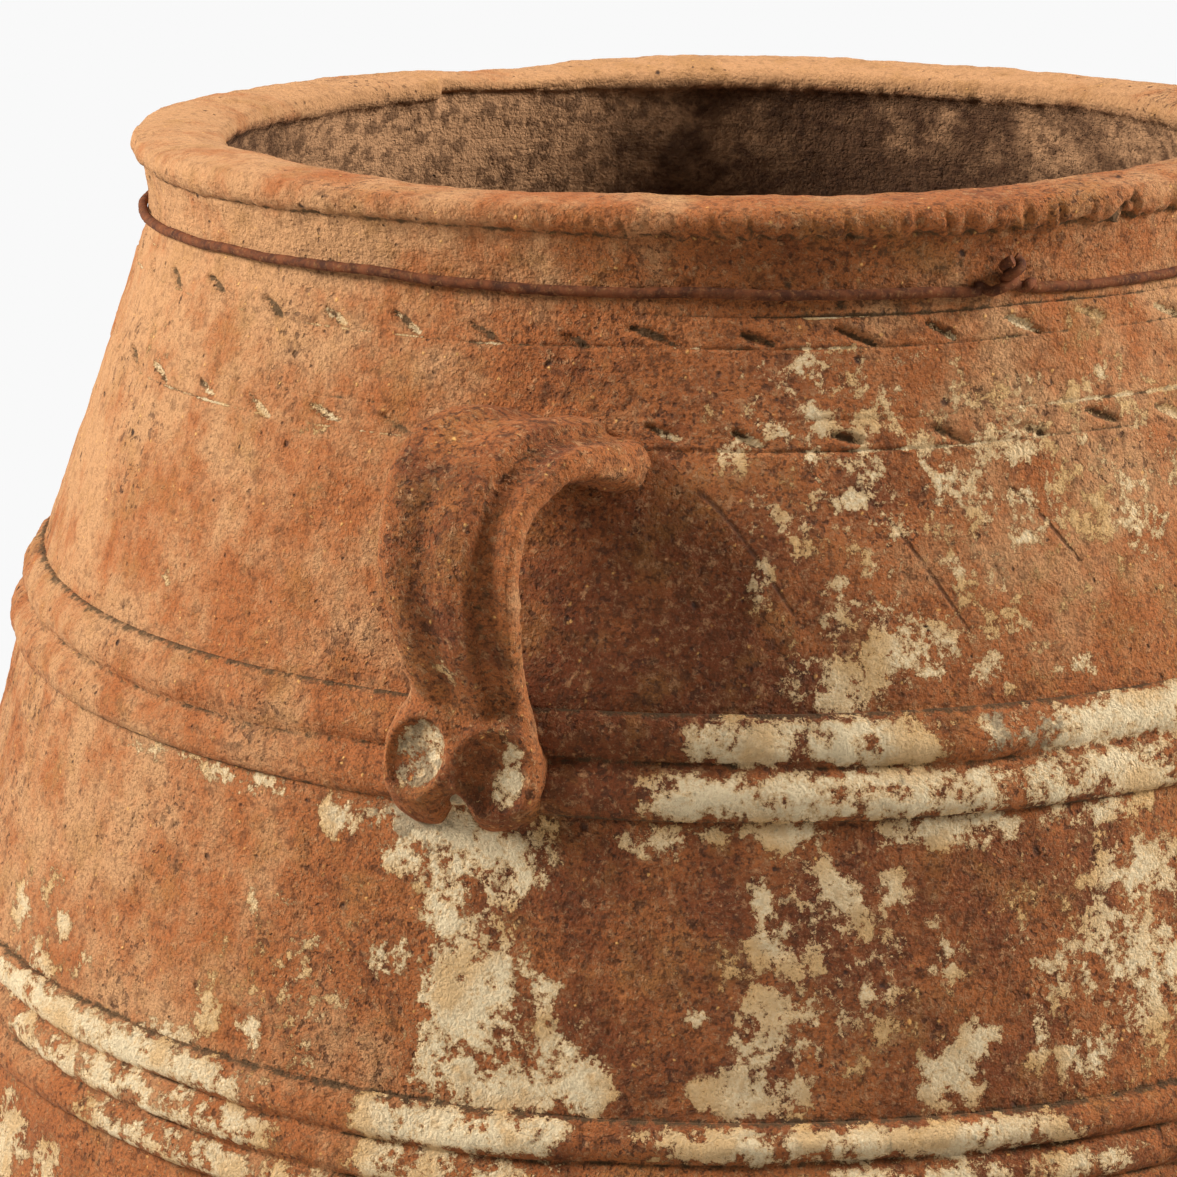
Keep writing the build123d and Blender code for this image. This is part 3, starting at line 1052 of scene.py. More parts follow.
@dataclass
class Frieze:
    """Two incised friezes on the shoulder: four lines, with a row of slanted strokes between each pair."""

    top: float = OUTLINE.rim_joint
    height: float = 10.6 * MM
    step: float = 34.6 * MM
    line_depth: float = 0.9 * MM
    line_width: float = 0.6 * MM
    stroke_length: float = 14.5 * MM
    stroke_width: float = 4.2 * MM
    stroke_depth: float = 2.3 * MM
    stroke_slant: float = 22.0
    counts: tuple[int, int] = (46, 48)
    first_turns: tuple[float, float] = (4.3, 12.2)
    seed: int = 3

    @property
    def line_heights(self) -> list[float]:
        """Heights of the four lines, from the top."""
        return [self.top - row * self.step - edge * self.height for row in range(2) for edge in range(2)]

    def rows(self) -> list[float]:
        """Heights of the close rows that carry the lines.

        Returns:
            Heights in metres, in no order.
        """
        offsets = (-1.9, -1.1, -0.55, 0.0, 0.55, 1.1, 1.9)
        lines = [z + o * MM for z in self.line_heights for o in offsets]
        between = np.linspace(-2.8 * MM, 2.8 * MM - self.height, 6)
        return lines + [z + o for z in self.line_heights[::2] for o in between]

    def waver(self, turn: np.ndarray, height: np.ndarray) -> np.ndarray:
        """Rise and fall of the lines, which were drawn by hand.

        Args:
            turn: Turns in radians.
            height: Heights in metres.

        Returns:
            Shifts up in metres.
        """
        middle = self.top - (self.step + self.height) / 2
        reach = unit(1.6 - np.abs(height - middle) / (30 * MM))
        return 0.7 * MM * Ripple(41, (2, 3, 7, 12, 19))(turn) * reach

    def relief(self, turn: np.ndarray, height: np.ndarray) -> tuple[np.ndarray, np.ndarray, np.ndarray]:
        """Depth of the lines and strokes.

        Args:
            turn: Turns in radians.
            height: Heights in metres.

        Returns:
            Relief in metres, below 0 in a cut, and the soil and painted shade and the lime that the cuts
            hold.
        """
        depth, dirt_and_shade, lime = (np.zeros_like(turn) for _ in range(3))
        self.cut_lines(turn, height, depth, dirt_and_shade, lime)
        self.cut_strokes(turn, height, depth, dirt_and_shade, lime)
        return depth, dirt_and_shade, lime

    def cut_lines(self, turn: np.ndarray, height: np.ndarray, *cuts: np.ndarray) -> None:
        """Adds the lines, of which each frieze's upper one is worn and its lower one limed on the left.

        Args:
            turn: Turns in radians.
            height: Heights in metres.
            cuts: Relief, soil and painted shade, and lime, which are changed in place.
        """
        depth, dirt_and_shade, lime = cuts
        left = bump(turn_gap(turn, math.radians(-42)), 0.5)
        for number, line in enumerate(self.line_heights):
            lower = number % 2
            wear = np.clip(0.62 + 0.3 * Ripple(50 + number, (3, 5, 11, 17, 29))(turn), 0.1, 1)
            wear *= 1 - 0.75 * left * (1 - lower)
            cut = bump(height - line, self.line_width) * wear
            depth -= self.line_depth * cut
            np.maximum(dirt_and_shade, 0.75 * cut, out=dirt_and_shade)
            filled = unit(Ripple(80 + number, (2, 3, 5, 9, 23, 41))(turn) - 0.2 + 0.9 * left * lower)
            np.maximum(lime, 0.75 * filled * unit(cut * 1.6), out=lime)

    def cut_strokes(self, turn: np.ndarray, height: np.ndarray, *cuts: np.ndarray) -> None:
        """Adds the strokes, each a slanted bowl with a burr along its lower side and painted shade in the
        bowl, heaviest towards that side.

        Args:
            turn: Turns in radians.
            height: Heights in metres.
            cuts: Relief, soil and painted shade, and lime, which are changed in place.
        """
        depth, dirt_and_shade, lime = cuts
        draw = np.random.default_rng(self.seed)
        radius = OUTLINE.outer(height)
        slant = math.radians(self.stroke_slant)
        for row, (count, first) in enumerate(zip(self.counts, self.first_turns)):
            for number in range(count):
                jitter = draw.normal(0, 1, 6)
                turn_mid = math.radians(first + 360 / count * number + 0.35 * jitter[0])
                z_mid = self.top - row * self.step - self.height * 0.62 + 1.0 * MM * jitter[1]
                near = np.abs(turn_gap(turn[0], turn_mid)) < 0.06
                across = turn_gap(turn[:, near], turn_mid) * radius[:, near]
                up = height[:, near] - z_mid
                angle = slant + 0.07 * jitter[2]
                along = across * math.cos(angle) - up * math.sin(angle)
                beside = across * math.sin(angle) + up * math.cos(angle)
                half = self.stroke_length / 2 * (1 + 0.1 * jitter[3])
                share = unit(1 - (along / half) ** 2)
                wide = self.stroke_width / 2 * np.sqrt(share) + 1e-6
                bowl = unit(1 - (beside / wide) ** 2) * (0.85 + 0.15 * np.tanh(jitter[4]))
                burr = bump(beside + 1.5 * wide, 0.9 * MM) * share
                depth[:, near] += 0.35 * MM * burr - self.stroke_depth * bowl
                # Soil in the bowl, darker towards its lower side: painted shade on that side of the stroke
                dirt_and_shade[:, near] = np.maximum(dirt_and_shade[:, near], bowl * unit(1.2 - 0.5 * beside / wide))
                filled = 0.68 * unit(bowl * 1.5) * (jitter[5] > 0.25)
                lime[:, near] = np.maximum(lime[:, near], filled)


@dataclass
class HandleSeat:
    """Swelling of the wall where a handle's two roots were worked into it."""

    turn: float
    upper_shift: float = 18 * MM
    upper_height: float = 0.902
    lower_height: float = 0.806
    rise: float = 4 * MM

    def relief(self, turn: np.ndarray, height: np.ndarray) -> np.ndarray:
        """Height of the swelling.

        Args:
            turn: Turns in radians.
            height: Heights in metres.

        Returns:
            Relief in metres.
        """
        across = turn_gap(turn, self.turn) * OUTLINE.outer(height)
        upper = bump(np.hypot((across - self.upper_shift) / 1.7, height - self.upper_height), 19 * MM)
        lower = bump(np.hypot(across / 1.5, height - self.lower_height), 21 * MM)
        return self.rise * (upper + lower)


@dataclass
class WallRing(ClayPiece):
    """One ring of the wall between two joints."""

    low: float
    high: float
    columns: int
    row_pitch: float
    frieze: Frieze | None = None
    seats: list[HandleSeat] = field(default_factory=list)
    inner_rows: int = 9

    def heights(self) -> np.ndarray:
        """Heights of the rows of the outside, closer at the incised lines.

        Returns:
            Heights in metres, from the lowest.
        """
        plain = np.linspace(self.low, self.high, int(round((self.high - self.low) / self.row_pitch)) + 1)
        if self.frieze is None:
            return plain
        fine = np.array([z for z in self.frieze.rows() if z <= self.high + 1e-9])
        clear = [z for z in plain[:-1] if np.min(np.abs(fine - z)) > 0.6 * self.row_pitch]
        return np.unique(np.concatenate([clear, fine, [self.high]]))

    def skin(self, weather_and_painted_light: WeatheringAndPaintedLight) -> Skin:
        """Outside rows going up, then inside rows coming down.

        Args:
            weather_and_painted_light: Where lime, soil, tones and painted shade and light lie.

        Returns:
            The closed surface of the ring.
        """
        outer = self.heights()
        inner = np.linspace(self.high, self.low, self.inner_rows)
        z = np.concatenate([outer, inner])
        radius = np.concatenate([OUTLINE.outer(outer), OUTLINE.inner(inner)])
        front = np.repeat([1.0, 0.0], [len(outer), len(inner)])[:, None]
        inside = 1 - front
        turn, height = np.meshgrid(turns_round(self.columns), z)
        radial, rise = (part[:, None] * (front - inside) for part in OUTLINE.facing(z))
        outward = around(radial, turn, rise)
        relief = np.zeros_like(turn)
        dirt_and_shade = weather_and_painted_light.dirt_and_shade(turn, height)
        lime, grey = weather_and_painted_light.lime(turn, height)
        place = height
        if self.frieze is not None:
            cut, soil_and_shade, filled = self.frieze.relief(turn, height)
            relief += cut
            dirt_and_shade = np.maximum(dirt_and_shade, soil_and_shade)
            lime = np.maximum(lime, filled)
            grey = np.maximum(grey, 0.3 * filled)
            place = height + self.frieze.waver(turn, height)
        for seat in self.seats:
            relief += seat.relief(turn, height)
        return Skin(
            points=around(radius[:, None], turn, place), outward=outward, relief=relief * front,
            lime=lime * front, dirt_and_shade=dirt_and_shade * front, inside=inside, grey=grey,
            tone=np.where(inside > 0, weather_and_painted_light.inside_tone(turn), weather_and_painted_light.tone(turn, height)),
            sharp_rows=[0, len(outer) - 1, len(outer), len(z) - 1],
        )


@dataclass
class Band(ClayPiece):
    """Strip of clay with rounded ridges over a joint of the wall."""

    low: float
    high: float
    ridges: int
    columns: int
    crest: float = 5.6 * MM
    edge: float = 0.4 * MM
    seat: float = 3.0 * MM
    lip: float = 1.2 * MM
    roundness: float = 0.62
    sway: float = 0.06
    unevenness: float = 0.13
    rows_per_ridge: int = 11

    def skin(self, weather_and_painted_light: WeatheringAndPaintedLight) -> Skin:
        """Ridged outside going up, then the hidden back coming down.

        Args:
            weather_and_painted_light: Where lime, soil, tones and painted shade and light lie.

        Returns:
            The closed surface of the band.
        """
        count = self.ridges * self.rows_per_ridge + 1
        place = np.linspace(self.ridges, 0, count)
        outer = self.high - place * (self.high - self.low) / self.ridges
        back = np.array([self.high, self.low])
        z = np.concatenate([outer, back])
        turn, height = np.meshgrid(turns_round(self.columns), z)
        within = np.concatenate([place, [0.0, self.ridges]])[:, None] * np.ones_like(turn)
        shift = self.sway * Ripple(hash_of(self.node), (3, 5, 8, 13, 21, 34))(turn)
        inner_edges = unit(np.minimum(within, self.ridges - within) * 2)
        swayed = np.clip(within + shift * inner_edges, 0, self.ridges)
        swell = np.abs(np.sin(np.pi * swayed)) ** self.roundness
        uneven = 1 + self.unevenness * Ripple(hash_of(self.node) + 1, (7, 11, 19, 31, 47, 67))(turn)
        proud = self.edge + (self.crest - self.edge) * swell * np.clip(uneven, 0.6, 1.3)
        proud += self.lip * bump(within - 0.06, 0.07)
        proud[count:] = -self.seat
        radius = OUTLINE.outer(height) + proud
        radial, rise = OUTLINE.facing(z)
        front = (np.arange(len(z)) < count)[:, None]
        # Soil colour in the grooves between the ridges and along the band's edges: painted shade there
        groove = unit(1 - swell * 1.7) * 0.8
        lime, grey = weather_and_painted_light.band_lime(self.node, turn, within)
        return Skin(
            points=around(radius, turn, height), outward=around(radial[:, None], turn, rise[:, None]),
            lime=lime * front, dirt_and_shade=groove * front, grey=grey, tone=weather_and_painted_light.tone(turn, height),
            sharp_rows=[0, count - 1, count, count + 1],
        )


def hash_of(name: str) -> int:
    """Small fixed number that a name stands for, as a seed."""
    return sum((i + 1) * ord(c) for i, c in enumerate(name)) % 9973


@dataclass
class BaseDisc(ClayPiece):
    """Slab under the jar, with a rounded foot."""

    node: str = "base_disc"
    top: float = 0.030
    floor: float = 0.042
    edge_round: float = 6 * MM
    hub: float = 6 * MM
    columns: int = 480

    def skin(self, weather_and_painted_light: WeatheringAndPaintedLight) -> Skin:
        """Rows from the middle of the underside, out round the foot and back over the inside.

        Args:
            weather_and_painted_light: Where lime, soil, tones and painted shade and light lie.

        Returns:
            The capped surface of the slab.
        """
        rim = OUTLINE.base_radius - self.edge_round
        under = [(r, 0.0) for r in np.linspace(self.hub, rim, 8)]
        bend = np.linspace(0, np.pi / 2, 6)[1:]
        foot = [(rim + self.edge_round * math.sin(a), self.edge_round * (1 - math.cos(a))) for a in bend]
        wall = [(float(OUTLINE.outer(z)), z) for z in np.linspace(2 * self.edge_round, self.top, 9)]
        seat = float(OUTLINE.inner(self.top))
        inner = [(r, self.floor) for r in np.linspace(seat, self.hub, 14)]
        rows = np.array(under + foot + wall + [(seat, self.top)] + inner)
        radius, z = rows[:, 0], rows[:, 1]
        along = np.gradient(rows, axis=0)
        length = np.hypot(along[:, 0], along[:, 1])
        turn, height = np.meshgrid(turns_round(self.columns), z)
        outward = around((along[:, 1] / length)[:, None], turn, (-along[:, 0] / length)[:, None])
        skirt = len(under) + len(foot)
        exposed = np.zeros(len(z))
        exposed[skirt:skirt + len(wall)] = np.linspace(0, 1, len(wall))
        inside = np.zeros(len(z))
        inside[-len(inner):] = 1
        step = skirt + len(wall)
        return Skin(
            points=around(radius[:, None], turn, height), outward=outward, exposed=exposed[:, None],
            dirt_and_shade=bump(height, 12 * MM) * (1 - inside)[:, None], inside=inside[:, None],
            tone=weather_and_painted_light.tone(turn, height), sharp_rows=[step - 1, step, step + 1], ring=False,
        )


def arc_through(
    first: Sequence[float], middle: Sequence[float], last: Sequence[float], count: int,
) -> np.ndarray:
    """Points along the circle through three points.

    Args:
        first: Start, as radius and height.
        middle: A point on the way.
        last: End.
        count: Number of points, both ends included.

    Returns:
        Array of points.
    """
    a, b, c = (complex(*p) for p in (first, middle, last))
    w = (c - a) / (b - a)
    centre = (b - a) * (w - abs(w) ** 2) / (2j * w.imag) + a
    start, stop = np.angle(a - centre), np.angle(c - centre)
    turn = np.angle((b - centre) / (a - centre))
    sweep = (stop - start) % (2 * np.pi)
    if turn < 0:
        sweep -= 2 * np.pi
    ring = centre + abs(a - centre) * np.exp(1j * (start + sweep * np.linspace(0, 1, count)))
    return np.stack([ring.real, ring.imag], -1)


@dataclass
class Rim(ClayPiece):
    """Thick rolled rim: a hollow neck, a rough lip, a nearly flat top and an overhang above the mouth."""

    node: str = "rim"
    frieze: Frieze = field(default_factory=Frieze)
    foot: float = OUTLINE.rim_joint
    top: float = 42.5 * MM
    columns: int = 1400
    settling: float = 1.3 * MM
    dip: float = 5 * MM
    dip_turn: float = math.radians(-136)
    rough_turn: float = math.radians(40)
    crease_depth: float = 1.3 * MM
    fringe_height: float = 1.2 * MM
    gouge_turn: float = math.radians(53)
    gouge_depth: float = 3.6 * MM
    ragged_depth: float = 0.5 * MM
    break_turn: float = math.radians(-124)
    break_depth: float = 5 * MM

    # Three points of each arc in millimetres, out from the neck and up from the foot, the number of points
    # on it, and whether its last point is the next arc's first
    arcs = {
        "neck": (((0, 0), (-2, 17), (0, 29.5)), 21, 1),
        "lip": (((0, 29.5), (4, 34.5), (1.6, 40.4)), 15, 1),
        "top": (((1.6, 40.4), (-14, 42.5), (-31, 39.5)), 15, 1),
        "mouth": (((-31, 39.5), (-36, 34.5), (-33, 29)), 12, 0),
    }

    def outline(self) -> tuple[np.ndarray, dict[str, slice]]:
        """Closed outline as radius and height above the foot, with the rows of each part.

        Returns:
            Points in metres, and slices of them by the name of the part.
        """
        neck = np.array((OUTLINE.neck_radius, 0.0))
        parts = {
            name: arc_through(*(neck + np.array(point) * MM for point in arc), count)[:count - shared]
            for name, (arc, count, shared) in self.arcs.items()
        }
        parts["inside"] = np.linspace((neck[0] - 30.5 * MM, 26 * MM), (neck[0] - OUTLINE.wall, 0), 7)
        slices, start = {}, 0
        for name, rows in parts.items():
            slices[name] = slice(start, start + len(rows))
            start += len(rows)
        return np.concatenate(list(parts.values())), slices

    def skin(self, weather_and_painted_light: WeatheringAndPaintedLight) -> Skin:
        """Rows up the neck, over the lip and the top, and down inside.

        Args:
            weather_and_painted_light: Where lime, soil, tones and painted shade and light lie.

        Returns:
            The closed surface of the rim.
        """
        rows, parts = self.outline()
        along = np.gradient(rows, axis=0)
        length = np.hypot(along[:, 0], along[:, 1])
        facing = np.stack([along[:, 1], -along[:, 0]], -1) / length[:, None]
        facing[0] = [float(v) for v in OUTLINE.facing(np.array(self.foot))]
        z = self.foot + rows[:, 1]
        turn, height = np.meshgrid(turns_round(self.columns), z)
        share = unit(rows[:, 1] / self.top)[:, None]
        place = height + self.frieze.waver(turn, height)
        place += self.settling * Ripple(5, (1, 2, 3, 5, 8))(turn) * share ** 2
        place -= self.dip * bump(turn_gap(turn, self.dip_turn), 0.2) * share ** 2
        neck, lip, mouth = parts["neck"], parts["lip"], parts["mouth"]
        relief, soil_and_shade, _ = self.frieze.relief(turn, height)
        relief[neck.stop:] = 0
        soil_and_shade[neck.stop:] = 0
        self.roughen(relief, soil_and_shade, turn, lip, mouth)
        inside = np.zeros((len(z), 1))
        inside[parts["inside"]] = 1
        inside[mouth] = unit(np.linspace(-1, 0.9, mouth.stop - mouth.start))[:, None]
        # Darker along the underside of the lip: painted shade under its overhang
        soil_and_shade[lip] += bump(np.arange(lip.stop - lip.start), 2.5)[:, None] * 0.7
        soil_and_shade[neck] += 0.3 * bump(turn_gap(turn[neck], math.radians(32)), 0.4)
        tone = weather_and_painted_light.tone(turn, height) * (1 - inside) + weather_and_painted_light.inside_tone(turn) * inside
        return Skin(
            points=around(rows[:, :1], turn, place), outward=around(facing[:, :1], turn, facing[:, 1:]),
            relief=relief, dirt_and_shade=soil_and_shade, inside=inside, tone=tone, sharp_rows=[0, len(z) - 1],
        )

    def roughen(
        self, relief: np.ndarray, soil_and_shade: np.ndarray, turn: np.ndarray, lip: slice, mouth: slice,
    ) -> None:
        """Adds the lip's creases, fringe and gouge, with painted shade in the creases and the gouge, and the
        ragged and broken edge of the mouth.

        Args:
            relief: Relief of the whole rim, which is changed in place.
            soil_and_shade: Soil and painted shade on the whole rim, which is changed in place.
            turn: Turns in radians.
            lip: Rows of the lip.
            mouth: Rows of the mouth.
        """
        row = np.linspace(0, 1, lip.stop - lip.start)[:, None]
        angle = turn[lip]
        rough_side = np.clip(1.5 - np.abs(turn_gap(angle, self.rough_turn)) / math.radians(32), 0.15, 1)
        tear = Ripple(21, tuple(range(70, 330, 13)), 0.1)(angle + 0.01 * row)
        crease = np.clip(tear - 0.2, 0, 1.5) * rough_side * bump(row - 0.5, 0.4)
        relief[lip] -= self.crease_depth * crease
        fringe = Ripple(22, tuple(range(40, 210, 9)), 0.2)(angle)
        relief[lip] += self.fringe_height * fringe * rough_side * bump(row - 0.05, 0.18)
        along, up = turn_gap(angle, self.gouge_turn) * 0.247 + 6 * MM, row * 13 * MM
        gouge = bump(0.67 * along - 0.74 * up, 1.8 * MM) * bump(0.74 * along + 0.67 * up - 7 * MM, 7 * MM)
        relief[lip] -= self.gouge_depth * gouge
        # Darker in the creases and the gouge: painted shade in them
        soil_and_shade[lip] += 0.3 * crease + 0.9 * gouge
        ragged = Ripple(23, (17, 23, 31, 43, 59, 83, 113), 0.4)(turn[mouth])
        low = np.linspace(0, 1, mouth.stop - mouth.start)[:, None]
        relief[mouth] -= self.ragged_depth * np.abs(ragged) * low
        past = -turn_gap(turn[mouth], self.break_turn)
        broken = unit(past / 0.012) * unit((0.5 - past) / 0.3)
        broken += 0.8 * bump(past - 0.02, 0.03)
        relief[mouth] -= self.break_depth * broken * unit(low * 2)


def smooth_path(stations: np.ndarray, count: int) -> np.ndarray:
    """Curve through the stations, eased by their neighbours.

    Args:
        stations: One row per station, with any number of values.
        count: Number of points on the curve.

    Returns:
        Points of the curve, evenly spaced by station.
    """
    padded = np.vstack([2 * stations[0] - stations[1], stations, 2 * stations[-1] - stations[-2]])
    place = np.linspace(0, len(stations) - 1 - 1e-9, count)
    i = place.astype(int)
    t = (place - i)[:, None]
    a, b, c, d = (padded[i + k] for k in range(4))
    bend, twist = 2 * a - 5 * b + 4 * c - d, 3 * b - a - 3 * c + d
    return 0.5 * (2 * b + (c - a) * t + bend * t ** 2 + twist * t ** 3)


@dataclass
class StrapHandle(ClayPiece):
    """Ridged strap handle, thumbed on to the shoulder band at its lower end."""

    turn: float
    rows: int = 220
    columns: int = 150
    ridge_depth: float = 4.8 * MM
    print_depth: float = 5.0 * MM
    print_width: float = 23 * MM
    print_height: float = 29 * MM
    print_spacing: float = 28.5 * MM
    print_rise: float = 0.8092
    print_lip: float = 1.6 * MM
    ridge_end: float = 0.818
    ridge_fade: float = 20 * MM
    cleft_top: float = 0.799
    cleft_fade: float = 9 * MM
    cleft_depth: float = 11 * MM

    # Sideways shift, distance from the wall, height, width and thickness at each station, in millimetres,
    # and the drop of the right edge per millimetre of width
    stations = (
        (25, -15, 905, 54, 24, 0.16), (21, 5, 913, 55, 21, 0.2), (9, 28, 917, 57, 18, 0.2),
        (1, 43, 907, 55, 17, 0.12), (-1, 46, 884, 50, 17, 0.03), (0, 32, 854, 45, 17, 0.0),
        (0, 13, 830, 42.5, 17.5, 0.0), (-2, 6, 810, 58, 24, 0.0), (-2, 1, 794, 58, 23, 0.0),
        (-2, -16, 782, 46, 20, 0.0),
    )

    def spine(self) -> tuple[np.ndarray, np.ndarray, np.ndarray, np.ndarray]:
        """Middle line, and width, thickness and drop along it, for a handle at the front.

        Returns:
            Points, widths, thicknesses and drops, one for each row.
        """
        path = smooth_path(np.array(self.stations, float) * MM, self.rows)
        shift, away, z = path[:, 0], path[:, 1], path[:, 2]
        middle = np.stack([shift, -(OUTLINE.outer(z) + away), z], -1)
        return middle, path[:, 3], path[:, 4], path[:, 5] / MM

    def skin(self, weather_and_painted_light: WeatheringAndPaintedLight) -> Skin:
        """Rows from the upper root, over the arch, down to the lower root.

        Args:
            weather_and_painted_light: Where lime, soil, tones and painted shade and light lie.

        Returns:
            The capped surface of the strap.
        """
        middle, width, thickness, drop = self.spine()
        along = np.gradient(middle, axis=0)
        along /= np.linalg.norm(along, axis=1)[:, None]
        across = np.stack([np.ones(self.rows), np.zeros(self.rows), -drop], -1)
        across -= along * (along * across).sum(1)[:, None]
        across /= np.linalg.norm(across, axis=1)[:, None]
        out = np.cross(along, across)
        angle = turns_round(self.columns)
        side = np.sign(np.cos(angle)) * np.abs(np.cos(angle)) ** 0.75
        face = np.sign(np.sin(angle)) * np.abs(np.sin(angle)) ** 0.8
        points = (middle[:, None] + across[:, None] * (side[:, None] * width[:, None, None] / 2)
                  + out[:, None] * (face[:, None] * thickness[:, None, None] / 2))
        normal = across[:, None] * (side * 0.35)[:, None] + out[:, None] * face[:, None]
        normal /= np.linalg.norm(normal, axis=2)[:, :, None]
        front = unit(face * 1.6)[None]
        rooted = np.clip(np.arange(self.rows) / (0.14 * self.rows), 0.2, 1)
        relief = self.ridges(side)[None] * front * (rooted * self.strap_share(middle[:, 2]))[:, None]
        prints, rim = self.prints(points)
        relief = relief + (rim - prints - self.cleft(points)) * front
        lime, grey = self.lime(points, prints)
        # Darker the deeper the relief, in the grooves, the thumbprints and the cleft: painted shade
        dirt_and_shade = np.clip(-relief / (9 * MM), 0, 0.3) * front
        torn = 1 + 2.5 * unit(1 - np.arange(self.rows) / (0.16 * self.rows))[:, None]
        cos, sin = math.cos(self.turn), math.sin(self.turn)
        spin = np.array([[cos, -sin, 0], [sin, cos, 0], [0, 0, 1]])
        return Skin(
            points=points @ spin.T, outward=normal @ spin.T, relief=relief, exposed=torn,
            lime=lime * front, dirt_and_shade=dirt_and_shade, grey=grey, ring=False,
            # Paler along both borders of the strap: a painted highlight on its edges
            tone=0.8 * unit(np.abs(side) * 5 - 4)[None] - 0.45,
        )

    def ridges(self, side: np.ndarray) -> np.ndarray:
        """Relief across the strap: a broad shallow groove, a steep ridge and a narrow border on the right.

        Args:
            side: Places across the strap, from -1 to 1.

        Returns:
            Relief in metres.
        """
        broad = 0.62 * bump(side + 0.3, 0.26)
        narrow = unit((side - 0.36) / 0.1) * unit((0.92 - side) / 0.22)
        return -self.ridge_depth * (broad + 0.9 * narrow)

    def strap_share(self, z: np.ndarray) -> np.ndarray:
        """Share of the ridges at each height, fading into the lower root."""
        return unit((z - self.ridge_end) / self.ridge_fade)

    def cleft(self, points: np.ndarray) -> np.ndarray:
        """Depth of the cleft between the two lobes of the lower root."""
        below = unit((self.cleft_top - points[..., 2]) / self.cleft_fade)
        return self.cleft_depth * bump(points[..., 0] + 3 * MM, 5 * MM) * below

    def prints(self, points: np.ndarray) -> tuple[np.ndarray, np.ndarray]:
        """Depth of the two thumbprints, and the lip of clay that they pushed up.

        Args:
            points: Points of the strap for a handle at the front.

        Returns:
            Depth and height in metres.
        """
        depth, lip = 0.0, 0.0
        for sign, lean, drop, wide in ((-1, 0.5, 0.0, 0.92), (1, -0.05, 4 * MM, 1.08)):
            x = points[..., 0] + 2 * MM - sign * self.print_spacing / 2
            z = points[..., 2] - self.print_rise + drop
            u = (x * math.cos(lean) - z * math.sin(lean)) / (self.print_width * wide / 2)
            v = (z * math.cos(lean) + x * math.sin(lean)) / (self.print_height / 2)
            reach = np.hypot(u, v)
            depth = depth + self.print_depth * unit(1 - reach ** 2) ** 0.6
            lip = lip + self.print_lip * bump(reach - 1.12, 0.16)
        return depth, lip

    def lime(self, points: np.ndarray, prints: np.ndarray) -> tuple[np.ndarray, np.ndarray]:
        """Lime in the thumbprints and in flecks on the strap above them.

        Args:
            points: Points of the strap for a handle at the front.
            prints: Depth of the thumbprints there.

        Returns:
            Cover and greyness, both 0 to 1.
        """
        x, z = points[..., 0], points[..., 2]
        bowl = unit(prints / self.print_depth * 2)
        left = bowl * (x < 0) * 0.75
        right = bowl * (x > 0) * np.clip(0.5 + (x - 12 * MM) / (12 * MM) - (z - 0.804) / (30 * MM), 0.1, 0.9)
        flecks = 0.36 * bump(x + 1 * MM, 9 * MM) * bump(z - 0.842, 17 * MM)
        smear = 0.4 * bump(x - 2 * MM, 22 * MM) * bump(z - 0.822, 6 * MM)
        return np.maximum.reduce([left, right, flecks, smear]), 1.1 * left


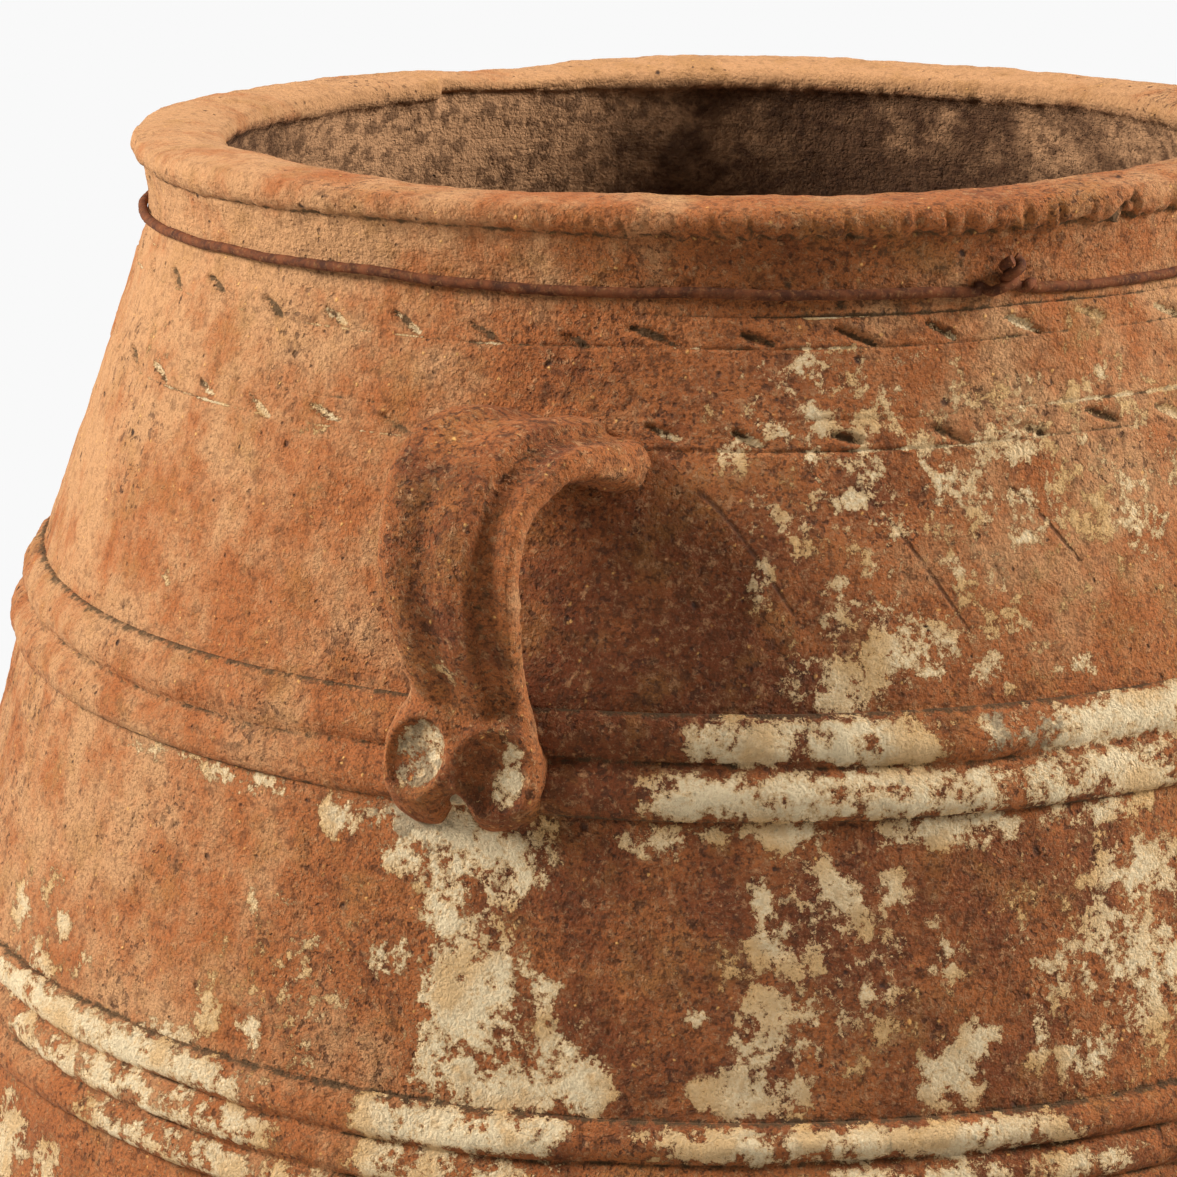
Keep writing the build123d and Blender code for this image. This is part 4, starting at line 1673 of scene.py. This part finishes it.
@dataclass
class NeckWire:
    """Iron wire tied round the neck, with its two ends twisted together."""

    finish: bpy.types.Material
    node: str = "neck_wire"
    diameter: float = 3.8 * MM
    height: float = 0.9665
    ring_radius: float = 0.2429
    knot_turn: float = 41.6
    knot_half: float = 2.6
    points: int = 900
    twist_turns: float = 1.4
    twist_reach: float = 6 * MM
    twist_drop: float = 6 * MM
    twist_rise: float = 16 * MM
    slack: float = 0.4 * MM
    kink: float = 0.5 * MM
    sag: float = 3.2 * MM
    sag_turn: float = math.radians(58)
    roughness: float = 0.9 * MM

    def route(self) -> np.ndarray:
        """Middle line of the wire, from one twisted end round the neck to the other.

        Returns:
            Points in metres.
        """
        first = math.radians(self.knot_turn + self.knot_half)
        turn = first + np.linspace(0, 2 * np.pi - 2 * math.radians(self.knot_half), self.points)
        slack = self.slack * np.clip(Ripple(61, (2, 3, 4, 6, 9))(turn), 0, 2)
        kinks = self.kink * Ripple(62, (5, 9, 14, 23, 37))(turn)
        sag = self.sag * bump(turn_gap(turn, self.sag_turn), 0.55)
        ring = around(self.ring_radius + slack, turn, self.height + kinks - sag)
        return np.concatenate([self.twisted(1)[::-1], ring, self.twisted(-1)])

    def twisted(self, side: int) -> np.ndarray:
        """Twisted end on one side of the knot, from the neck outwards.

        Args:
            side: Side of the knot, 1 or -1.

        Returns:
            Points in metres.
        """
        knot = math.radians(self.knot_turn)
        t = np.linspace(0, 1, 70)
        spin = 2 * np.pi * self.twist_turns * t + (0 if side > 0 else np.pi)
        drift = knot + side * math.radians(self.knot_half) * (1 - t) ** 3
        offset = self.diameter * 0.75 * unit(t * 4)
        out = self.ring_radius + self.twist_reach * t + offset * np.cos(spin)
        swing = offset * np.sin(spin) / self.ring_radius
        up = self.height - self.twist_drop * unit(t * 4) + self.twist_rise * t
        return around(out, drift + swing, up)

    def build(self) -> None:
        """Makes the wire by sweeping a circle along its route."""
        name = f"{self.node}_iron"
        curve = bpy.data.curves.new(name, "CURVE")
        curve.dimensions = "3D"
        line = curve.splines.new("POLY")
        route = self.route()
        line.points.add(len(route) - 1)
        line.points.foreach_set("co", np.concatenate([route, np.ones((len(route), 1))], 1).ravel())
        values = {"Radius": self.diameter / 2, "Roughness": self.roughness, "Finish": self.finish}
        obj = run_tree(curve, self.sweep(), values, name)
        place_piece(obj, Slot.IRON, self.node)

    @staticmethod
    def sweep() -> bpy.types.NodeTree:
        """Geometry tree that sweeps a rough circle along a curve.

        Returns:
            The tree, with inputs for the wire's radius and its roughness.
        """
        tree = start_tree("wire_sweep", ["Radius", "Roughness"])
        entry = add(tree, "NodeGroupInput")
        ring = add(tree, "GeometryNodeCurvePrimitiveCircle", {
            "Resolution": 16, "Radius": entry.outputs["Radius"],
        })
        tube = add(tree, "GeometryNodeCurveToMesh", {
            "Curve": entry.outputs["Geometry"], "Profile Curve": ring, "Fill Caps": True,
        })
        noise = add(tree, "ShaderNodeTexNoise", {"Scale": per_metre(5), "Detail": 3.0})
        centred = add(tree, "ShaderNodeMath", {0: noise, 1: 0.5}, operation="SUBTRACT")
        scaled = add(tree, "ShaderNodeMath", {0: centred, 1: entry.outputs["Roughness"]},
                     operation="MULTIPLY")
        push = add(tree, "ShaderNodeVectorMath", {
            "Vector": add(tree, "GeometryNodeInputNormal"), "Scale": scaled,
        }, operation="SCALE")
        moved = add(tree, "GeometryNodeSetPosition", {"Geometry": tube, "Offset": push})
        end_tree(tree, entry, add(tree, "GeometryNodeSetShadeSmooth", {"Geometry": moved}))
        return tree


@dataclass(frozen=True)
class Softbox:
    """Round soft light: its place, its power in watts and its width."""

    name: str
    place: tuple[float, float, float]
    power: float
    width: float = 1.2


@dataclass(frozen=True)
class Studio:
    """Pale floor, white background, soft lights from both sides, and a camera that looks into the mouth."""

    backdrop: str = "#F9F9F9"
    floor: str = "#D0CEC9"
    floor_reach: float = 30.0
    floor_fade: tuple[float, float] = (0.55, 1.5)
    ambient: float = 0.33
    softboxes: tuple[Softbox, ...] = (
        Softbox("left_softbox", (-2.32, -1.18, 2.5), 152.0),
        Softbox("right_softbox", (2.51, 0.67, 2.5), 146.0),
    )
    light_aim: tuple[float, float, float] = (0.0, 0.0, 0.75)
    lens: float = 105.06
    camera_turn: float = 17.0
    camera_distance: float = 1.44424
    camera_height: float = 1.17031
    camera_pitch: float = 14.567
    camera_yaw: float = -19.26

    def build(self) -> None:
        """Makes everything round the jar."""
        self.make_world()
        self.make_floor()
        self.make_lights()
        self.make_camera()
        bpy.context.scene.view_settings.view_transform = "Standard"

    def make_world(self) -> None:
        """White where the camera looks past everything, and a dim even glow for the light."""
        world = bpy.data.worlds.new("studio")
        bpy.context.scene.world = world
        tree = empty_tree(world)
        seen = add(tree, "ShaderNodeLightPath").outputs["Is Camera Ray"]
        glow = add(tree, "ShaderNodeBackground", {"Color": (1, 1, 1, 1), "Strength": self.ambient})
        white = add(tree, "ShaderNodeBackground", {"Color": linear(self.backdrop), "Strength": 1.0})
        mix = add(tree, "ShaderNodeMixShader", {0: seen, 1: glow, 2: white})
        add(tree, "ShaderNodeOutputWorld", {"Surface": mix})

    def make_floor(self) -> None:
        """Pale floor that turns into the white background away from the jar."""
        half = self.floor_reach / 2
        mesh = bpy.data.meshes.new("floor")
        corners = [(-half, -half, 0), (half, -half, 0), (half, half, 0), (-half, half, 0)]
        mesh.from_pydata(corners, [], [(0, 1, 2, 3)])
        # Matt paint: even and without a highlight, so that the shadow is all it shows
        material = bpy.data.materials.new("pale_floor")
        mesh.materials.append(material)
        tree = empty_tree(material)
        place = add(tree, "ShaderNodeTexCoord").outputs["Object"]
        reach = add(tree, "ShaderNodeVectorMath", {0: place}, operation="LENGTH").outputs["Value"]
        near, white_from = self.floor_fade
        far = add(tree, "ShaderNodeMapRange", {"Value": reach, "From Min": near, "From Max": white_from},
                  interpolation_type="SMOOTHSTEP")
        seen = add(tree, "ShaderNodeLightPath").outputs["Is Camera Ray"]
        share = add(tree, "ShaderNodeMath", {0: far, 1: seen}, operation="MULTIPLY")
        matt = add(tree, "ShaderNodeBsdfDiffuse", {"Color": linear(self.floor)})
        white = add(tree, "ShaderNodeEmission", {"Color": linear(self.backdrop), "Strength": 1.0})
        mix = add(tree, "ShaderNodeMixShader", {0: share, 1: matt, 2: white})
        add(tree, "ShaderNodeOutputMaterial", {"Surface": mix})
        new_object("floor", mesh)

    def make_lights(self) -> None:
        """Makes the soft lights, which look at the shoulder."""
        for box in self.softboxes:
            data = bpy.data.lights.new(box.name, "AREA")
            data.shape = "DISK"
            data.size = box.width
            data.energy = box.power
            self.point(box.name, data, box.place, Vector(self.light_aim) - Vector(box.place))

    def make_camera(self) -> None:
        """Makes the camera, above the shoulder."""
        data = bpy.data.cameras.new("camera")
        data.sensor_width = 36.0
        data.lens = self.lens
        data.dof.use_dof = False
        turn, pitch, yaw = (math.radians(a) for a in (self.camera_turn, self.camera_pitch, self.camera_yaw))
        off = self.camera_distance
        place = (math.sin(turn) * off, -math.cos(turn) * off, self.camera_height)
        look = Vector((math.sin(yaw) * math.cos(pitch), math.cos(yaw) * math.cos(pitch), -math.sin(pitch)))
        bpy.context.scene.camera = self.point("camera", data, place, look)

    @staticmethod
    def point(name: str, data: bpy.types.ID, place: Sequence[float], look: Vector) -> bpy.types.Object:
        """Puts a light or a camera at a place, looking along a direction.

        Args:
            name: Name of the object.
            data: The light or the camera.
            place: Its place.
            look: The direction.

        Returns:
            The object, as part of the stage.
        """
        obj = new_object(name, data)
        obj.location = place
        obj.rotation_mode = "QUATERNION"
        obj.rotation_quaternion = look.to_track_quat("-Z", "Y")
        return obj


class Pithos:
    """The jar: its pieces, in the order in which they were built up."""

    band_ridges = {"lower_band": 2, "belly_band": 3, "upper_belly_band": 3, "shoulder_band": 2}
    handle_turns = {"handle_front": 0.0, "handle_rear_right": 120.0, "handle_rear_left": -120.0}

    def __init__(self) -> None:
        """Reads the bands from the frame and makes the finishes."""
        self.bands = {n: (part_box(n)[0].z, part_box(n)[1].z, r) for n, r in self.band_ridges.items()}
        self.kit = ClayKit(ClayRelief(), Terracotta().material(), WeatheringAndPaintedLight(self.bands))
        self.frieze = Frieze()

    def joint(self, name: str) -> float:
        """Height of the joint under a band."""
        low, high, _ = self.bands[name]
        return (low + high) / 2

    def clay_pieces(self) -> list[ClayPiece]:
        """Every piece of clay, ready to build.

        Returns:
            The rings from the foot up, then the bands and the handles.
        """
        seats = [HandleSeat(math.radians(t)) for t in self.handle_turns.values()]
        lower, belly, upper, shoulder = (self.joint(n) for n in self.band_ridges)
        pieces: list[ClayPiece] = [
            BaseDisc(),
            WallRing("foot_wall", BaseDisc.top, lower, 720, 5 * MM),
            WallRing("lower_wall", lower, belly, 840, 3.4 * MM),
            WallRing("belly_wall", belly, upper, 900, 3.0 * MM),
            WallRing("upper_belly_wall", upper, shoulder, 1200, 2.2 * MM, seats=seats),
            WallRing("shoulder_wall", shoulder, OUTLINE.rim_joint, 1100, 3.4 * MM, self.frieze, seats, 6),
            Rim(frieze=self.frieze),
        ]
        pieces += [Band(n, low, high, ridges, 1000) for n, (low, high, ridges) in self.bands.items()]
        pieces += [StrapHandle(n, math.radians(t)) for n, t in self.handle_turns.items()]
        return pieces

    def build(self) -> None:
        """Builds every piece."""
        for piece in self.clay_pieces():
            piece.build(self.kit)
        NeckWire(RustedIron().material()).build()


def main() -> None:
    """Builds the jar and the studio round it."""
    Pithos().build()
    Studio().build()


if __name__ == "__main__":
    main()
